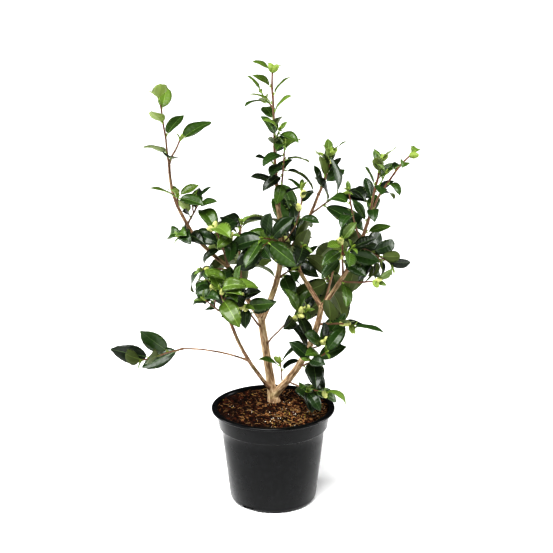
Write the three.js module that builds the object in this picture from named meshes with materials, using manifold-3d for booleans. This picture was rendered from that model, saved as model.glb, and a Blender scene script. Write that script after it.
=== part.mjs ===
// A camellia shrub in its black nursery pot, as separate stems, boughs and leafy masses.
// Millimetres, +Z up, origin at the centre of the pot's flat underside.
// Azimuths are degrees from +X towards +Y, and rises are degrees above level.

import * as THREE from 'three';
import { mergeVertices } from 'three/addons/utils/BufferGeometryUtils.js';
import Module from 'manifold-3d';

// ---------------------------------------------------------------- driving dimensions

const GAP = 0.3; // between one solid and the next

const POT = {
  height: 150,
  rimRadius: 95,
  lip: 4.4, // depth of the turned-out lip
  collarTop: 86.8, // radius where the collar meets the lip
  collarFoot: 83.6,
  collarHeight: 29,
  shoulder: 3, // height of the step from body to collar
  bodyTop: 79,
  baseRadius: 66.3,
  corner: 8, // radius of the corner between body and underside
  wall: 1.6,
  floor: 2,
  sides: 26,
};

const CHANNEL = { count: 3, azimuth: 235, width: 22, height: 6, inner: 38, wall: 1.6, hole: 4 };

const COMPOST = { edge: 145.6, top: 147, flatRadius: 46, shoulderRadius: 72, shoulder: 146.4 };

const TRUNK_FOOT = { x: 1, y: 28 };
const FLARE = { width: 3.4, height: 11 }; // how far the root flare stands out, and its fall-off

const STEP = 14; // length of one straight stretch of a limb
const SIDES = { limb: 6, twig: 3 };

const LEAF = {
  width: 0.53, // share of its length
  sink: 0.6, // how far its root goes past the twig's middle, as a share of the twig's radius
  petiole: 4,
  petioleShare: 0.05,
  fold: 14, // how far each half is lifted about the midrib
  thickness: 0.016, // share of its length, at the midrib
  widest: 0.82, // under 1 moves the widest place towards the foot
  fullness: 0.8, // under 1 rounds the outline out
  stations: [0.3, 0.7], // sections of the solid, as shares from foot to tip
  leastCurl: 8,
  tries: [0, 30, -30, 55, -55, 80, -80], // turns about the twig before a leaf is skipped
  tryShrink: 0.06, // how much smaller each new try is
  reach: 1.6, // space that a mass keeps about its stem, as a share of its leaf length
};

// How much one leaf differs from the next: angles in degrees, size and width as shares.
const VARIETY = { angle: 12, spread: 8, droop: 8, roll: 22, size: 0.12, width: 0.05, curl: 12, fold: 6,
  twist: 14 };

// How leaves change up one twig, from the lowest to the one at the tip.
const TOWARDS_TIP = { size: -0.22, spread: -0.38, droop: -0.6, crowding: 0.85, last: 0.985 };

const BUD = {
  leaf: { length: 12, radius: 2.0 }, // slim, in line with its twig
  flower: { length: 14, radius: 4.6 }, // plump, set aside from its twig
  sunk: 1,
  turn: 150, // about the twig, from one flower bud to the next
};

// Least distance that a mass keeps from the limbs, leaves and buds of others and of its own, and
// from the pot.
const CLEARANCE = { limb: 3, ownLimb: 1.2, leaf: 4.2, ownLeaf: 3, bud: 2.5, twig: 4, pot: 4,
  potRadius: 100 };

// Side twigs of a mass: where they fork off its stem, their length as a share of the stem's, and
// what they carry.
const TWIG = {
  first: 0.35, last: 0.85, spread: 48, golden: 137.5, turn: 15, lean: 8,
  share: 0.4, least: 20, most: 36, variety: 0.15,
  bend: 12, wander: 5, foot: 0.7, leastFoot: 0.9, tip: 0.8,
  leaves: 3, bare: 0.4, phase: 90, leaf: 0.92,
};

const COLOURS = {
  pot: { color: '#26282b', roughness: 0.45 },
  compost: { color: '#3a2a20', roughness: 1 },
  limb: { color: '#9a7a58', roughness: 0.85 },
  mature: { color: '#22402a', roughness: 0.35 },
  mid: { color: '#3d6b30', roughness: 0.4 },
  young: { color: '#6da338', roughness: 0.45 },
};

// Limbs in the order they grow. `foot` and `tip` are radii, and `on` and `at` say where a limb
// leaves its parent, as a share of the parent's length.
const LIMBS = [
  { name: 'trunk', flare: true, azimuth: 150, rise: 81, length: 132, bend: 0, turn: 8, foot: 7.2, tip: 5.6,
    wander: 2 },
  { name: 'leader', on: 'trunk', at: 1, azimuth: 350, rise: 62, length: 186, bend: 41, turn: 3,
    foot: 4.8, tip: 3.6, wander: 3 },
  { name: 'left_bough', on: 'trunk', at: 1, azimuth: 164, rise: 48, length: 95, bend: 17, turn: -2,
    foot: 4.2, tip: 3.3, wander: 4 },
  { name: 'upper_left_bough', on: 'left_bough', at: 1, azimuth: 174, rise: 31, length: 189, bend: 59,
    turn: 1, foot: 3.2, tip: 2.1, wander: 3 },
  { name: 'left_stem', on: 'trunk', at: 0.13, azimuth: 224, rise: 46, length: 161, bend: 25, turn: -10,
    foot: 3.3, tip: 2.5, wander: 2 },
  { name: 'low_left_bough', on: 'left_stem', at: 0.46, azimuth: 212, rise: 32, length: 121, bend: -23,
    turn: -1, foot: 1.6, tip: 1.3, wander: 2 },
  { name: 'right_stem', on: 'trunk', at: 0.06, azimuth: 338, rise: 48, length: 185, bend: 27,
    turn: -32, foot: 6.2, tip: 4.2, wander: 3 },
  { name: 'right_bough', on: 'right_stem', at: 1, azimuth: 342, rise: 56, length: 126, bend: 13,
    turn: 13, foot: 3.6, tip: 2.9, wander: 4 },
  { name: 'right_inner_bough', on: 'right_stem', at: 1, azimuth: 129, rise: 42, length: 65, bend: -1,
    turn: 3, foot: 3.6, tip: 3, wander: 4 },
  { name: 'upper_right_bough', on: 'leader', at: 0.52, azimuth: 42, rise: 33, length: 122, bend: 33,
    turn: -2, foot: 3, tip: 2.3, wander: 4 },
];

// What a mass of leaves has unless its own line says otherwise.
const MASS_DEFAULTS = {
  foot: 1.6, tip: 1.0, wander: 5, // of its stem
  twigs: 0, // side twigs that branch from the stem
  buds: 1,
  bare: 0.3, // share of the stem below the first leaf
  spread: 62, // between stem and leaf
  droop: 12,
  curl: 40, // of a blade from foot to tip
  up: 0.6, // how far a blade turns its face to the sky
  tone: 'mature',
};

const FACE_PULL = 0.3; // how far every blade leans to the bright side, -Y

// Masses of leaves. `leaf` is the length of a full-grown leaf, `phase` the turn of the first leaf
// about the stem and `divergence` the turn from each leaf to the next.
const MASSES = [
  { name: 'crown_top', on: 'leader', at: 1, azimuth: 163, rise: 83, length: 199, bend: 7, turn: -11,
    foot: 2.7, tip: 1.2, leaves: 15, twigs: 2, buds: 3, leaf: 40, bare: 0.05, phase: 330,
    divergence: 165, spread: 54, droop: 6, up: 0.75, tone: 'mid', seed: 45 },
  { name: 'upper_left_tip', on: 'upper_left_bough', at: 1, azimuth: 218, rise: 82, length: 100,
    bend: -3, turn: -1, leaves: 5, leaf: 48, bare: 0.15, phase: 180, divergence: 165, spread: 80,
    droop: -25, curl: 15, up: 0.35, tone: 'young', seed: 86 },
  { name: 'upper_left_side', on: 'upper_left_bough', at: 1, azimuth: 9, rise: 69, length: 38, bend: -9,
    turn: 1, foot: 1.7, tip: 1.1, leaves: 2, leaf: 68, bare: 0.15, phase: 330, divergence: 180,
    droop: -2, curl: 25, up: 0.2, seed: 13 },
  { name: 'upper_left_mid', on: 'upper_left_bough', at: 0.64, azimuth: 270, rise: 56, length: 20,
    bend: 34, turn: 5, foot: 1.2, leaves: 5, leaf: 42, bare: 0.75, phase: 330, divergence: 150,
    spread: 56, droop: 40, curl: 15, up: 0.95, tone: 'mid', seed: 36 },
  { name: 'upper_right', on: 'upper_right_bough', at: 1, azimuth: 24, rise: 66, length: 66, bend: 16,
    turn: 3, foot: 2.1, tip: 1.2, leaves: 9, twigs: 1, buds: 2, leaf: 35, bare: 0.15, phase: 0,
    divergence: 165, spread: 46, droop: -10, curl: 15, up: 0.45, tone: 'mid', seed: 84 },
  { name: 'back_crown', on: 'leader', at: 0.32, azimuth: 72, rise: 48, length: 126, bend: -5, turn: 1,
    foot: 2.2, tip: 1.1, leaves: 6, twigs: 2, leaf: 61, bare: 0.25, phase: 270, divergence: 165,
    spread: 54, droop: 6, up: 0.8, seed: 16 },
  { name: 'back_left', on: 'left_bough', at: 0.5, azimuth: 102, rise: 44, length: 113, bend: 7,
    turn: -13, foot: 2, tip: 1.1, leaves: 8, twigs: 2, leaf: 57, phase: 105, divergence: 180,
    spread: 54, droop: 32, curl: 60, up: 0.2, seed: 48 },
  { name: 'back_right', on: 'right_stem', at: 0.9, azimuth: 66, rise: 42, length: 144, bend: -14,
    turn: 19, foot: 2.2, tip: 1.1, leaves: 8, twigs: 2, leaf: 61, bare: 0.2, phase: 45,
    divergence: 165, spread: 54, droop: 40, curl: 90, up: 0.2, seed: 70 },
  { name: 'upper_left_leaves', on: 'upper_left_bough', at: 0.35, azimuth: 196, rise: 7, length: 23,
    bend: 2, turn: 0, foot: 1.2, leaves: 7, leaf: 49, bare: 0.05, phase: 75, divergence: 180,
    spread: 80, droop: -25, curl: 90, up: 0.45, seed: 97 },
  { name: 'upper_right_low', on: 'upper_right_bough', at: 0.74, azimuth: 0, rise: 38, length: 58,
    bend: -13, turn: -4, foot: 1.5, leaves: 5, leaf: 63, bare: 0.4, phase: 210, divergence: 165,
    spread: 80, droop: -25, curl: 25, up: 0.2, seed: 33 },
  { name: 'left_low_cluster', on: 'left_bough', at: 0.92, azimuth: 204, rise: 19, length: 47,
    bend: -17, turn: 4, foot: 1.7, tip: 1.1, leaves: 4, twigs: 1, leaf: 59, bare: 0.2, phase: 90,
    divergence: 165, droop: 8, curl: 90, seed: 87 },
  { name: 'right_inner', on: 'right_inner_bough', at: 1, azimuth: 109, rise: 71, length: 49, bend: 12,
    turn: -9, foot: 2.1, tip: 1.2, leaves: 7, twigs: 1, buds: 2, leaf: 49, bare: 0.05, phase: 30,
    divergence: 165, spread: 46, droop: 0, curl: 15, up: 0.2, seed: 90 },
  { name: 'small_right_twig', on: 'leader', at: 0.67, azimuth: 326, rise: 42, length: 100, bend: 54,
    turn: -15, foot: 1.3, tip: 0.8, leaves: 6, leaf: 32, bare: 0.4, phase: 15, divergence: 137,
    spread: 54, droop: 10, curl: 35, up: 0.8, seed: 67 },
  { name: 'leader_left', on: 'leader', at: 0.68, azimuth: 229, rise: 26, length: 43, bend: -8,
    turn: -3, leaves: 4, twigs: 1, leaf: 62, bare: 0.6, phase: 90, divergence: 150, spread: 70,
    droop: 4, curl: 20, up: 0.45, seed: 90 },
  { name: 'leader_right', on: 'leader', at: 0.61, azimuth: 309, rise: 14, length: 55, bend: 10,
    turn: -1, foot: 1.7, leaves: 2, twigs: 1, leaf: 63, bare: 0.5, phase: 130, divergence: 137,
    spread: 54, droop: 40, curl: 45, seed: 5 },
  { name: 'left_inner', on: 'left_bough', at: 1, azimuth: 241, rise: 69, length: 77, bend: -15,
    turn: -5, foot: 2, tip: 1.2, leaves: 7, twigs: 1, buds: 3, leaf: 56, phase: 0, divergence: 137,
    spread: 70, droop: 4, curl: 90, up: 0.45, tone: 'mid', seed: 52 },
  { name: 'hanging_left', on: 'trunk', at: 0.89, azimuth: 230, rise: 40, length: 107, bend: 19,
    turn: 8, foot: 1.7, leaves: 6, twigs: 1, buds: 3, leaf: 44, bare: 0.4, phase: 45, divergence: 137,
    spread: 54, droop: 26, curl: 20, up: 0.2, seed: 30 },
  { name: 'right_outer', on: 'right_bough', at: 0.86, azimuth: 6, rise: -17, length: 51, bend: -18,
    turn: -5, foot: 1.7, leaves: 8, twigs: 1, leaf: 45, bare: 0.05, phase: 30, divergence: 165,
    spread: 70, droop: 26, curl: 50, up: 0.45, seed: 80 },
  { name: 'right_top', on: 'right_bough', at: 1, azimuth: 13, rise: 76, length: 116, bend: 3, turn: 0,
    foot: 2.4, tip: 1.2, leaves: 11, twigs: 1, buds: 2, leaf: 37, bare: 0.05, phase: 180,
    divergence: 150, spread: 54, droop: 0, curl: 15, up: 0.75, tone: 'mid', seed: 28 },
  { name: 'right_far', on: 'right_bough', at: 1, azimuth: 343, rise: 79, length: 143, bend: -33,
    turn: 6, foot: 2, tip: 1.1, leaves: 6, twigs: 1, buds: 2, leaf: 34, phase: 260, divergence: 180,
    spread: 78, droop: -18, curl: 90, tone: 'mid', seed: 97 },
  { name: 'inner_right', on: 'trunk', at: 0.66, azimuth: 317, rise: 56, length: 107, bend: -25,
    turn: 6, foot: 1.5, tip: 0.9, leaves: 7, leaf: 47, bare: 0.7, phase: 135, divergence: 137,
    spread: 70, droop: 6, curl: 25, up: 0.3, seed: 19 },
  { name: 'right_centre', on: 'right_bough', at: 0.46, azimuth: 268, rise: 71, length: 71, bend: -15,
    turn: -8, foot: 1.8, tip: 1.1, leaves: 7, twigs: 1, buds: 2, leaf: 44, bare: 0.4, phase: 60,
    divergence: 180, spread: 46, droop: 40, curl: 15, up: 0.35, tone: 'mid', seed: 28 },
  { name: 'right_mid', on: 'right_bough', at: 0.4, azimuth: 324, rise: 6, length: 63, bend: 9,
    turn: -3, foot: 1.8, leaves: 2, twigs: 1, buds: 2, leaf: 40, bare: 0.05, phase: 240,
    divergence: 137, spread: 40, droop: 14, curl: 35, up: 0.2, tone: 'mid', seed: 63 },
  { name: 'stem_twig', on: 'right_stem', at: 0.14, azimuth: 207, rise: 80, length: 39, bend: 5,
    turn: 4, foot: 1.2, tip: 0.8, leaves: 3, buds: 2, leaf: 49, bare: 0.6, phase: 30, divergence: 180,
    spread: 80, droop: -12, curl: 25, up: 0.35, seed: 85 },
  { name: 'right_low', on: 'right_stem', at: 0.38, azimuth: 305, rise: 20, length: 82, bend: 20,
    turn: -1, leaves: 5, twigs: 1, leaf: 52, bare: 0.15, phase: 165, divergence: 150, spread: 54,
    droop: -25, curl: 45, seed: 93 },
  { name: 'right_stem_spray', on: 'right_stem', at: 0.57, azimuth: 303, rise: 32, length: 56, bend: -5,
    turn: -3, foot: 1.5, leaves: 6, leaf: 59, bare: 0.4, phase: 240, divergence: 137, droop: 2,
    curl: 20, up: 0.45, seed: 59 },
  { name: 'right_stub', on: 'right_stem', at: 0.83, azimuth: 328, rise: 21, length: 63, bend: -22,
    turn: -10, foot: 1.8, tip: 1.2, leaves: 5, buds: 2, leaf: 59, bare: 0.1, phase: 165,
    divergence: 165, spread: 70, droop: 4, curl: 15, up: 0.95, seed: 45 },
  { name: 'left_outer', on: 'left_stem', at: 1, azimuth: 217, rise: 37, length: 53, bend: 1, turn: 0,
    leaves: 2, twigs: 1, leaf: 41, bare: 0.45, phase: 285, divergence: 150, spread: 70, droop: -2,
    curl: 90, seed: 19 },
  { name: 'left_front', on: 'left_stem', at: 1, azimuth: 242, rise: 57, length: 58, bend: 3, turn: 7,
    foot: 1.7, tip: 1.1, leaves: 6, twigs: 1, buds: 2, leaf: 54, bare: 0.55, phase: 315,
    divergence: 180, spread: 70, droop: -16, curl: 85, up: 0.2, tone: 'young', seed: 32 },
  { name: 'low_left_spray', on: 'low_left_bough', at: 1, azimuth: 221, rise: 2, length: 72, bend: -8,
    turn: -5, foot: 1.4, tip: 0.9, leaves: 5, leaf: 60, bare: 0.05, phase: 210, divergence: 137,
    spread: 40, droop: -20, curl: 15, up: 0.35, seed: 24 },
  { name: 'low_right_shoot', on: 'right_stem', at: 0.21, azimuth: 298, rise: -2, length: 91, bend: 13,
    turn: 18, foot: 1.5, leaves: 7, twigs: 1, buds: 2, leaf: 47, bare: 0.2, phase: 165,
    divergence: 165, spread: 46, droop: 24, curl: 75, up: 0.9, tone: 'mid', seed: 11 },
  { name: 'leader_spray', on: 'leader', at: 0.96, azimuth: 293, rise: 68, length: 103, bend: 18,
    turn: 7, leaves: 8, leaf: 49, bare: 0.45, phase: 135, divergence: 165, spread: 80, droop: 23,
    curl: 54, up: 0.95, tone: 'mid', seed: 66, wander: 3 },
  { name: 'centre_spray', on: 'leader', at: 0.36, azimuth: 334, rise: 48, length: 31, bend: -24,
    turn: 13, leaves: 5, leaf: 54, bare: 0.25, phase: 45, divergence: 180, spread: 80, droop: 0,
    curl: 37, up: 0.75, seed: 13, wander: 3 },
  { name: 'bough_spray', on: 'upper_left_bough', at: 0.48, azimuth: 330, rise: 60, length: 37, bend: 0,
    turn: 2, leaves: 3, twigs: 1, leaf: 42, bare: 0.35, phase: 240, divergence: 165, spread: 40,
    droop: 25, curl: 24, seed: 11, wander: 3 },
  { name: 'right_side_spray', on: 'right_bough', at: 0.57, azimuth: 53, rise: 1, length: 57, bend: -6,
    turn: 0, leaves: 8, leaf: 44, bare: 0.35, phase: 135, divergence: 180, spread: 80, droop: 32,
    curl: 34, up: 0.75, seed: 99, wander: 3 },
  { name: 'right_end_spray', on: 'right_bough', at: 0.94, azimuth: 216, rise: 63, length: 80, bend: 15,
    turn: 10, leaves: 4, leaf: 53, bare: 0.25, phase: 300, divergence: 165, spread: 80, droop: -14,
    curl: 90, up: 0.8, seed: 54, wander: 3 },
].map((mass) => ({ ...MASS_DEFAULTS, ...mass }));

// ---------------------------------------------------------------- seeded dice and directions

/** A small generator, so that one seed always grows the same twig. */
class Dice {
  constructor(seed) {
    this.state = seed * 7919 + 17;
  }
  roll() {
    this.state = (this.state * 1664525 + 1013904223) % 4294967296;
    return this.state / 4294967296;
  }
  swing(most) {
    return (2 * this.roll() - 1) * most;
  }
}

const UP = new THREE.Vector3(0, 0, 1);
const BRIGHT_SIDE = new THREE.Vector3(0, -1, 0);
const radians = THREE.MathUtils.degToRad;
const degrees = THREE.MathUtils.radToDeg;
const clamp = THREE.MathUtils.clamp;

/** Sum of vectors, each given with its factor. */
function blend(...terms) {
  const sum = new THREE.Vector3();
  for (const [vector, factor] of terms) sum.addScaledVector(vector, factor);
  return sum;
}

function heading(azimuth, rise) {
  const level = Math.cos(radians(rise));
  return new THREE.Vector3(
    level * Math.cos(radians(azimuth)), level * Math.sin(radians(azimuth)), Math.sin(radians(rise)));
}

/** Unit vector square to a limb, `angle` degrees round from its upper side. */
function around(azimuth, rise, angle) {
  const side = new THREE.Vector3(-Math.sin(radians(azimuth)), Math.cos(radians(azimuth)), 0);
  const top = heading(azimuth, rise).cross(side);
  return blend([top, Math.cos(radians(angle))], [side, Math.sin(radians(angle))]);
}

// ---------------------------------------------------------------- courses of limbs

const limbs = new Map();

/** Marches a limb from `start`: its rise bends and its azimuth turns evenly on the way. */
function course(start, spec, order) {
  const steps = Math.max(3, Math.round(spec.length / STEP));
  const dice = new Dice(order);
  const limb = { ...spec, steps, points: [start], azimuths: [], rises: [] };
  for (let k = 0; k < steps; k++) {
    const share = (k + 0.5) / steps;
    const azimuth = spec.azimuth + spec.turn * share + dice.swing(spec.wander);
    const rise = spec.rise + spec.bend * share + dice.swing(spec.wander);
    limb.points.push(blend([limb.points[k], 1], [heading(azimuth, rise), spec.length / steps]));
    limb.azimuths.push(azimuth);
    limb.rises.push(rise);
  }
  return limb;
}

/** Place, direction and radius at a share of a limb's length. */
function along(limb, share) {
  const reached = clamp(share, 0, 1) * limb.steps;
  const k = Math.min(Math.floor(reached), limb.steps - 1);
  return {
    point: new THREE.Vector3().lerpVectors(limb.points[k], limb.points[k + 1], reached - k),
    azimuth: limb.azimuths[k],
    rise: limb.rises[k],
    radius: limb.foot + (limb.tip - limb.foot) * share,
  };
}

function radiusAt(limb, k) {
  return limb.foot + (limb.tip - limb.foot) * (k / limb.steps);
}

function lay(spec, mass = null) {
  const start = spec.on
    ? along(limbs.get(spec.on), spec.at).point
    : new THREE.Vector3(TRUNK_FOOT.x, TRUNK_FOOT.y, COMPOST.top);
  limbs.set(spec.name, { ...course(start, spec, limbs.size + 1), mass });
}

for (const spec of LIMBS) lay(spec);
for (const spec of MASSES) lay(spec, spec.name);

// ---------------------------------------------------------------- leaves

const leaves = [];
const buds = [];

function outline(share) {
  return Math.sin(Math.PI * clamp(share, 0, 1) ** LEAF.widest) ** LEAF.fullness;
}

/** A point of the blade: `share` from foot to tip, `across` from -1 to 1, and its normal. */
function bladePoint(leaf, share, across) {
  const curl = radians(leaf.curl);
  const angle = curl * share;
  const reach = (leaf.length * Math.sin(angle)) / curl;
  const fall = (leaf.length * (1 - Math.cos(angle))) / curl;
  const upright = blend([leaf.normal, Math.cos(angle)], [leaf.heading, Math.sin(angle)]);
  const twist = radians(leaf.twist) * share;
  const side = blend([leaf.side, Math.cos(twist)], [upright, Math.sin(twist)]);
  const normal = blend([upright, Math.cos(twist)], [leaf.side, -Math.sin(twist)]);
  const half = (leaf.width / 2) * outline(share) * across;
  const fold = radians(leaf.fold);
  const point = blend(
    [leaf.base, 1], [leaf.heading, reach], [leaf.normal, -fall],
    [side, half * Math.cos(fold)], [normal, Math.abs(half) * Math.sin(fold)]);
  return { point, normal };
}

const SAMPLES = { along: 8, across: 2, near: 15 }; // the first 15 samples lie near the foot

function samplesOf(leaf) {
  const points = [];
  for (let t = 0; t <= SAMPLES.along; t++) {
    for (let s = -SAMPLES.across; s <= SAMPLES.across; s++) {
      points.push(bladePoint(leaf, t / SAMPLES.along, s / SAMPLES.across).point);
    }
  }
  return points;
}

const scratch = new THREE.Vector3();
const stretch = new THREE.Line3();

function stretchDistance(point, limb, k) {
  stretch.set(limb.points[k], limb.points[k + 1]);
  return stretch.closestPointToPoint(point, true, scratch).distanceTo(point);
}

function limbDistance(point, limb) {
  let least = Infinity;
  for (let k = 0; k < limb.steps; k++) least = Math.min(least, stretchDistance(point, limb, k));
  return least;
}

function cloudsMeet(one, other, least) {
  return one.some((p) => other.some((q) => p.distanceToSquared(q) < least * least));
}

function overPot(point) {
  return Math.hypot(point.x, point.y) < CLEARANCE.potRadius && point.z < POT.height + CLEARANCE.pot;
}

/** True where a leaf keeps to its mass's space and touches no pot, limb, leaf or bud. */
function leafIsClear(leaf) {
  const { samples, middle } = leaf;
  const far = samples.slice(SAMPLES.near);
  if (samples.some(overPot)) return false;
  const stem = limbs.get(leaf.mass);
  if (samples.some((p) => limbDistance(p, stem) > leaf.reach)) return false;
  for (const limb of limbs.values()) {
    const own = limb.mass === leaf.mass;
    const tested = own ? far : samples;
    for (let k = 0; k < limb.steps; k++) {
      const centre = blend([limb.points[k], 0.5], [limb.points[k + 1], 0.5]);
      if (centre.distanceTo(middle) > leaf.length * 0.7 + limb.length / limb.steps) continue;
      const least = radiusAt(limb, k) + (own ? CLEARANCE.ownLimb : CLEARANCE.limb);
      if (tested.some((p) => stretchDistance(p, limb, k) < least)) return false;
    }
  }
  for (const other of leaves) {
    if (other.middle.distanceTo(middle) > (other.length + leaf.length) * 0.62) continue;
    const own = other.mass === leaf.mass;
    const meets = own
      ? cloudsMeet(far, other.samples.slice(SAMPLES.near), CLEARANCE.ownLeaf)
      : cloudsMeet(samples, other.samples, CLEARANCE.leaf);
    if (meets) return false;
  }
  return !buds.some((bud) =>
    cloudsMeet(bud.mass === leaf.mass ? far : samples, [bud.middle], bud.length / 2 + CLEARANCE.bud));
}

/** Sets one leaf on a twig, turned aside until it is clear, or skipped. */
function addLeaf(mass, twig, share, angle, length, spread, droop, dice) {
  const { point, azimuth, rise, radius } = along(twig, share);
  const onward = heading(azimuth, rise);
  for (let attempt = 0; attempt < LEAF.tries.length; attempt++) {
    const turned = angle + dice.swing(VARIETY.angle) + LEAF.tries[attempt];
    const outward = around(azimuth, rise, turned);
    const lean = radians(spread + dice.swing(VARIETY.spread));
    const fall = Math.tan(radians(droop + dice.swing(VARIETY.droop)));
    const forward = blend([onward, Math.cos(lean)], [outward, Math.sin(lean)], [UP, -fall]).normalize();
    const facing = blend(
      [onward, Math.sin(lean) * (1 - mass.up)], [outward, -Math.cos(lean) * (1 - mass.up)],
      [UP, mass.up], [BRIGHT_SIDE, FACE_PULL]);
    facing.addScaledVector(forward, -facing.dot(forward)).normalize();
    const sideways = facing.clone().cross(forward);
    const roll = radians(dice.swing(VARIETY.roll));
    const size = length * (1 + dice.swing(VARIETY.size)) * (1 - LEAF.tryShrink * attempt);
    const leaf = {
      mass: mass.name,
      root: blend([point, 1], [forward, -radius * LEAF.sink]),
      base: blend([point, 1], [forward, radius + LEAF.petiole + size * LEAF.petioleShare]),
      heading: forward,
      normal: blend([facing, Math.cos(roll)], [sideways, -Math.sin(roll)]),
      side: blend([sideways, Math.cos(roll)], [facing, Math.sin(roll)]),
      length: size,
      width: size * (LEAF.width + dice.swing(VARIETY.width)),
      curl: Math.max(LEAF.leastCurl, mass.curl + dice.swing(VARIETY.curl)),
      fold: LEAF.fold + dice.swing(VARIETY.fold),
      twist: dice.swing(VARIETY.twist),
      reach: mass.leaf * LEAF.reach,
    };
    leaf.samples = samplesOf(leaf);
    leaf.middle = leaf.samples[Math.floor(leaf.samples.length / 2)];
    if (leafIsClear(leaf)) {
      leaves.push(leaf);
      return;
    }
  }
}

/** Leaves up one twig, each turned on from the last, smaller and closer towards the tip. */
function dress(mass, twig, count, bare, phase, length, dice) {
  for (let k = 0; k < count; k++) {
    const share = count > 1 ? k / (count - 1) : 1;
    const place = bare + (TOWARDS_TIP.last - bare) * share ** TOWARDS_TIP.crowding;
    addLeaf(
      mass, twig, place, phase + mass.divergence * k, length * (1 + TOWARDS_TIP.size * share),
      mass.spread * (1 + TOWARDS_TIP.spread * share), mass.droop * (1 + TOWARDS_TIP.droop * share),
      dice);
  }
}

// ---------------------------------------------------------------- growing a mass

/** A side twig, left out where it would meet a leaf or a limb. */
function addTwig(mass, number, dice) {
  const stem = limbs.get(mass.name);
  const fork = along(stem, TWIG.first + ((TWIG.last - TWIG.first) * (number + 0.5)) / mass.twigs);
  const turn = mass.phase + TWIG.phase + TWIG.golden * number + dice.swing(TWIG.turn);
  const lean = radians(TWIG.spread + dice.swing(TWIG.lean));
  const onward = blend(
    [heading(fork.azimuth, fork.rise), Math.cos(lean)],
    [around(fork.azimuth, fork.rise, turn), Math.sin(lean)]).normalize();
  const twig = course(fork.point, {
    name: `${mass.name}_twig_${number + 1}`,
    azimuth: degrees(Math.atan2(onward.y, onward.x)),
    rise: degrees(Math.asin(onward.z)),
    length: clamp(stem.length * TWIG.share, TWIG.least, TWIG.most) * (1 + dice.swing(TWIG.variety)),
    bend: TWIG.bend,
    turn: 0,
    wander: TWIG.wander,
    foot: Math.max(fork.radius * TWIG.foot, TWIG.leastFoot),
    tip: TWIG.tip,
  }, mass.seed * 10 + number);
  twig.mass = mass.name;
  const points = twig.points.slice(1);
  if (leaves.some((leaf) => cloudsMeet(leaf.samples, points, CLEARANCE.twig))) return null;
  for (const limb of limbs.values()) {
    const least = Math.max(limb.foot, 1) + CLEARANCE.limb;
    if (limb !== stem && points.some((p) => limbDistance(p, limb) < least)) return null;
  }
  limbs.set(twig.name, twig);
  return twig;
}

/** A bud at a twig's tip: the first is a slim leaf bud, the others are plump flower buds. */
function addBud(mass, twig, number) {
  const { point, azimuth, rise } = along(twig, 1);
  const { length, radius } = number === 0 ? BUD.leaf : BUD.flower;
  const direction = heading(azimuth, rise);
  if (number > 0) direction.add(around(azimuth, rise, 70 + BUD.turn * number)).normalize();
  const middle = blend([point, 1], [direction, length / 2 - BUD.sunk]);
  const meetsLeaf = leaves.some((leaf) =>
    leaf.mass !== mass.name && cloudsMeet(leaf.samples, [middle], length / 2 + CLEARANCE.bud));
  const meetsLimb = [...limbs.values()].some((limb) =>
    limb.mass !== mass.name && limbDistance(middle, limb) < limb.foot + length / 2);
  if (meetsLeaf || meetsLimb) return;
  const endsTwig = number === 0 ? twig.name : null;
  buds.push({ mass: mass.name, endsTwig, middle, direction, length, radius });
}

function grow(mass) {
  const dice = new Dice(100 + mass.seed);
  const stem = limbs.get(mass.name);
  const twigs = [];
  for (let number = 0; number < mass.twigs; number++) {
    const twig = addTwig(mass, number, dice);
    if (twig) twigs.push(twig);
  }
  for (let number = 0; number < mass.buds; number++) addBud(mass, stem, number);
  for (const twig of twigs) addBud(mass, twig, 0);
  dress(mass, stem, mass.leaves, mass.bare, mass.phase, mass.leaf, dice);
  twigs.forEach((twig, number) =>
    dress(
      mass, twig, TWIG.leaves, TWIG.bare, mass.phase + TWIG.phase * number, mass.leaf * TWIG.leaf,
      dice));
}

MASSES.forEach(grow);

// ---------------------------------------------------------------- solids

const wasm = await Module();
wasm.setup();

/** A closed geometry as a solid that can be joined and cut. */
function solid(geometry) {
  geometry.deleteAttribute('normal');
  geometry.deleteAttribute('uv');
  const merged = mergeVertices(geometry);
  return new wasm.Manifold(new wasm.Mesh({
    numProp: 3,
    vertProperties: Float32Array.from(merged.attributes.position.array),
    triVerts: Uint32Array.from(merged.index.array),
  }));
}

/** A mesh of the largest piece of a solid, so that no loose scrap is left of a cut. */
function mesh(body, name, finish) {
  const pieces = body.decompose();
  const largest = pieces.reduce((best, piece) => (piece.volume() > best.volume() ? piece : best));
  const { vertProperties, triVerts } = largest.getMesh();
  const geometry = new THREE.BufferGeometry();
  geometry.setAttribute('position', new THREE.BufferAttribute(vertProperties, 3));
  geometry.setIndex(new THREE.BufferAttribute(triVerts, 1));
  geometry.computeVertexNormals();
  const result = new THREE.Mesh(geometry, new THREE.MeshStandardMaterial(finish));
  result.name = name;
  return result;
}

/** Moves each point of a geometry to where `place` puts it. */
function shaped(geometry, place) {
  const points = geometry.attributes.position;
  for (let i = 0; i < points.count; i++) {
    const moved = place(points.getX(i), points.getY(i), points.getZ(i));
    points.setXYZ(i, moved.x, moved.y, moved.z);
  }
  return geometry;
}

/** How far the root flare widens a limb at a height above its foot. */
function flare(limb, share) {
  return limb.flare ? FLARE.width * Math.exp((-share * limb.length) / FLARE.height) : 0;
}

/** Axis and radius of each ring of a limb, made `extra` wider all round and longer at both ends. */
function ringsOf(limb, extra) {
  const rings = limb.points.map((point, k) => {
    const before = Math.max(k - 1, 0);
    const after = Math.min(k, limb.steps - 1);
    const azimuth = (limb.azimuths[before] + limb.azimuths[after]) / 2;
    const rise = (limb.rises[before] + limb.rises[after]) / 2;
    return { point, azimuth, rise, radius: radiusAt(limb, k) + flare(limb, k / limb.steps) + extra };
  });
  const ends = [[rings[0], -extra], [rings[limb.steps], extra]];
  for (const [ring, shift] of ends) {
    ring.point = blend([ring.point, 1], [heading(ring.azimuth, ring.rise), shift]);
  }
  return rings;
}

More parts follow.
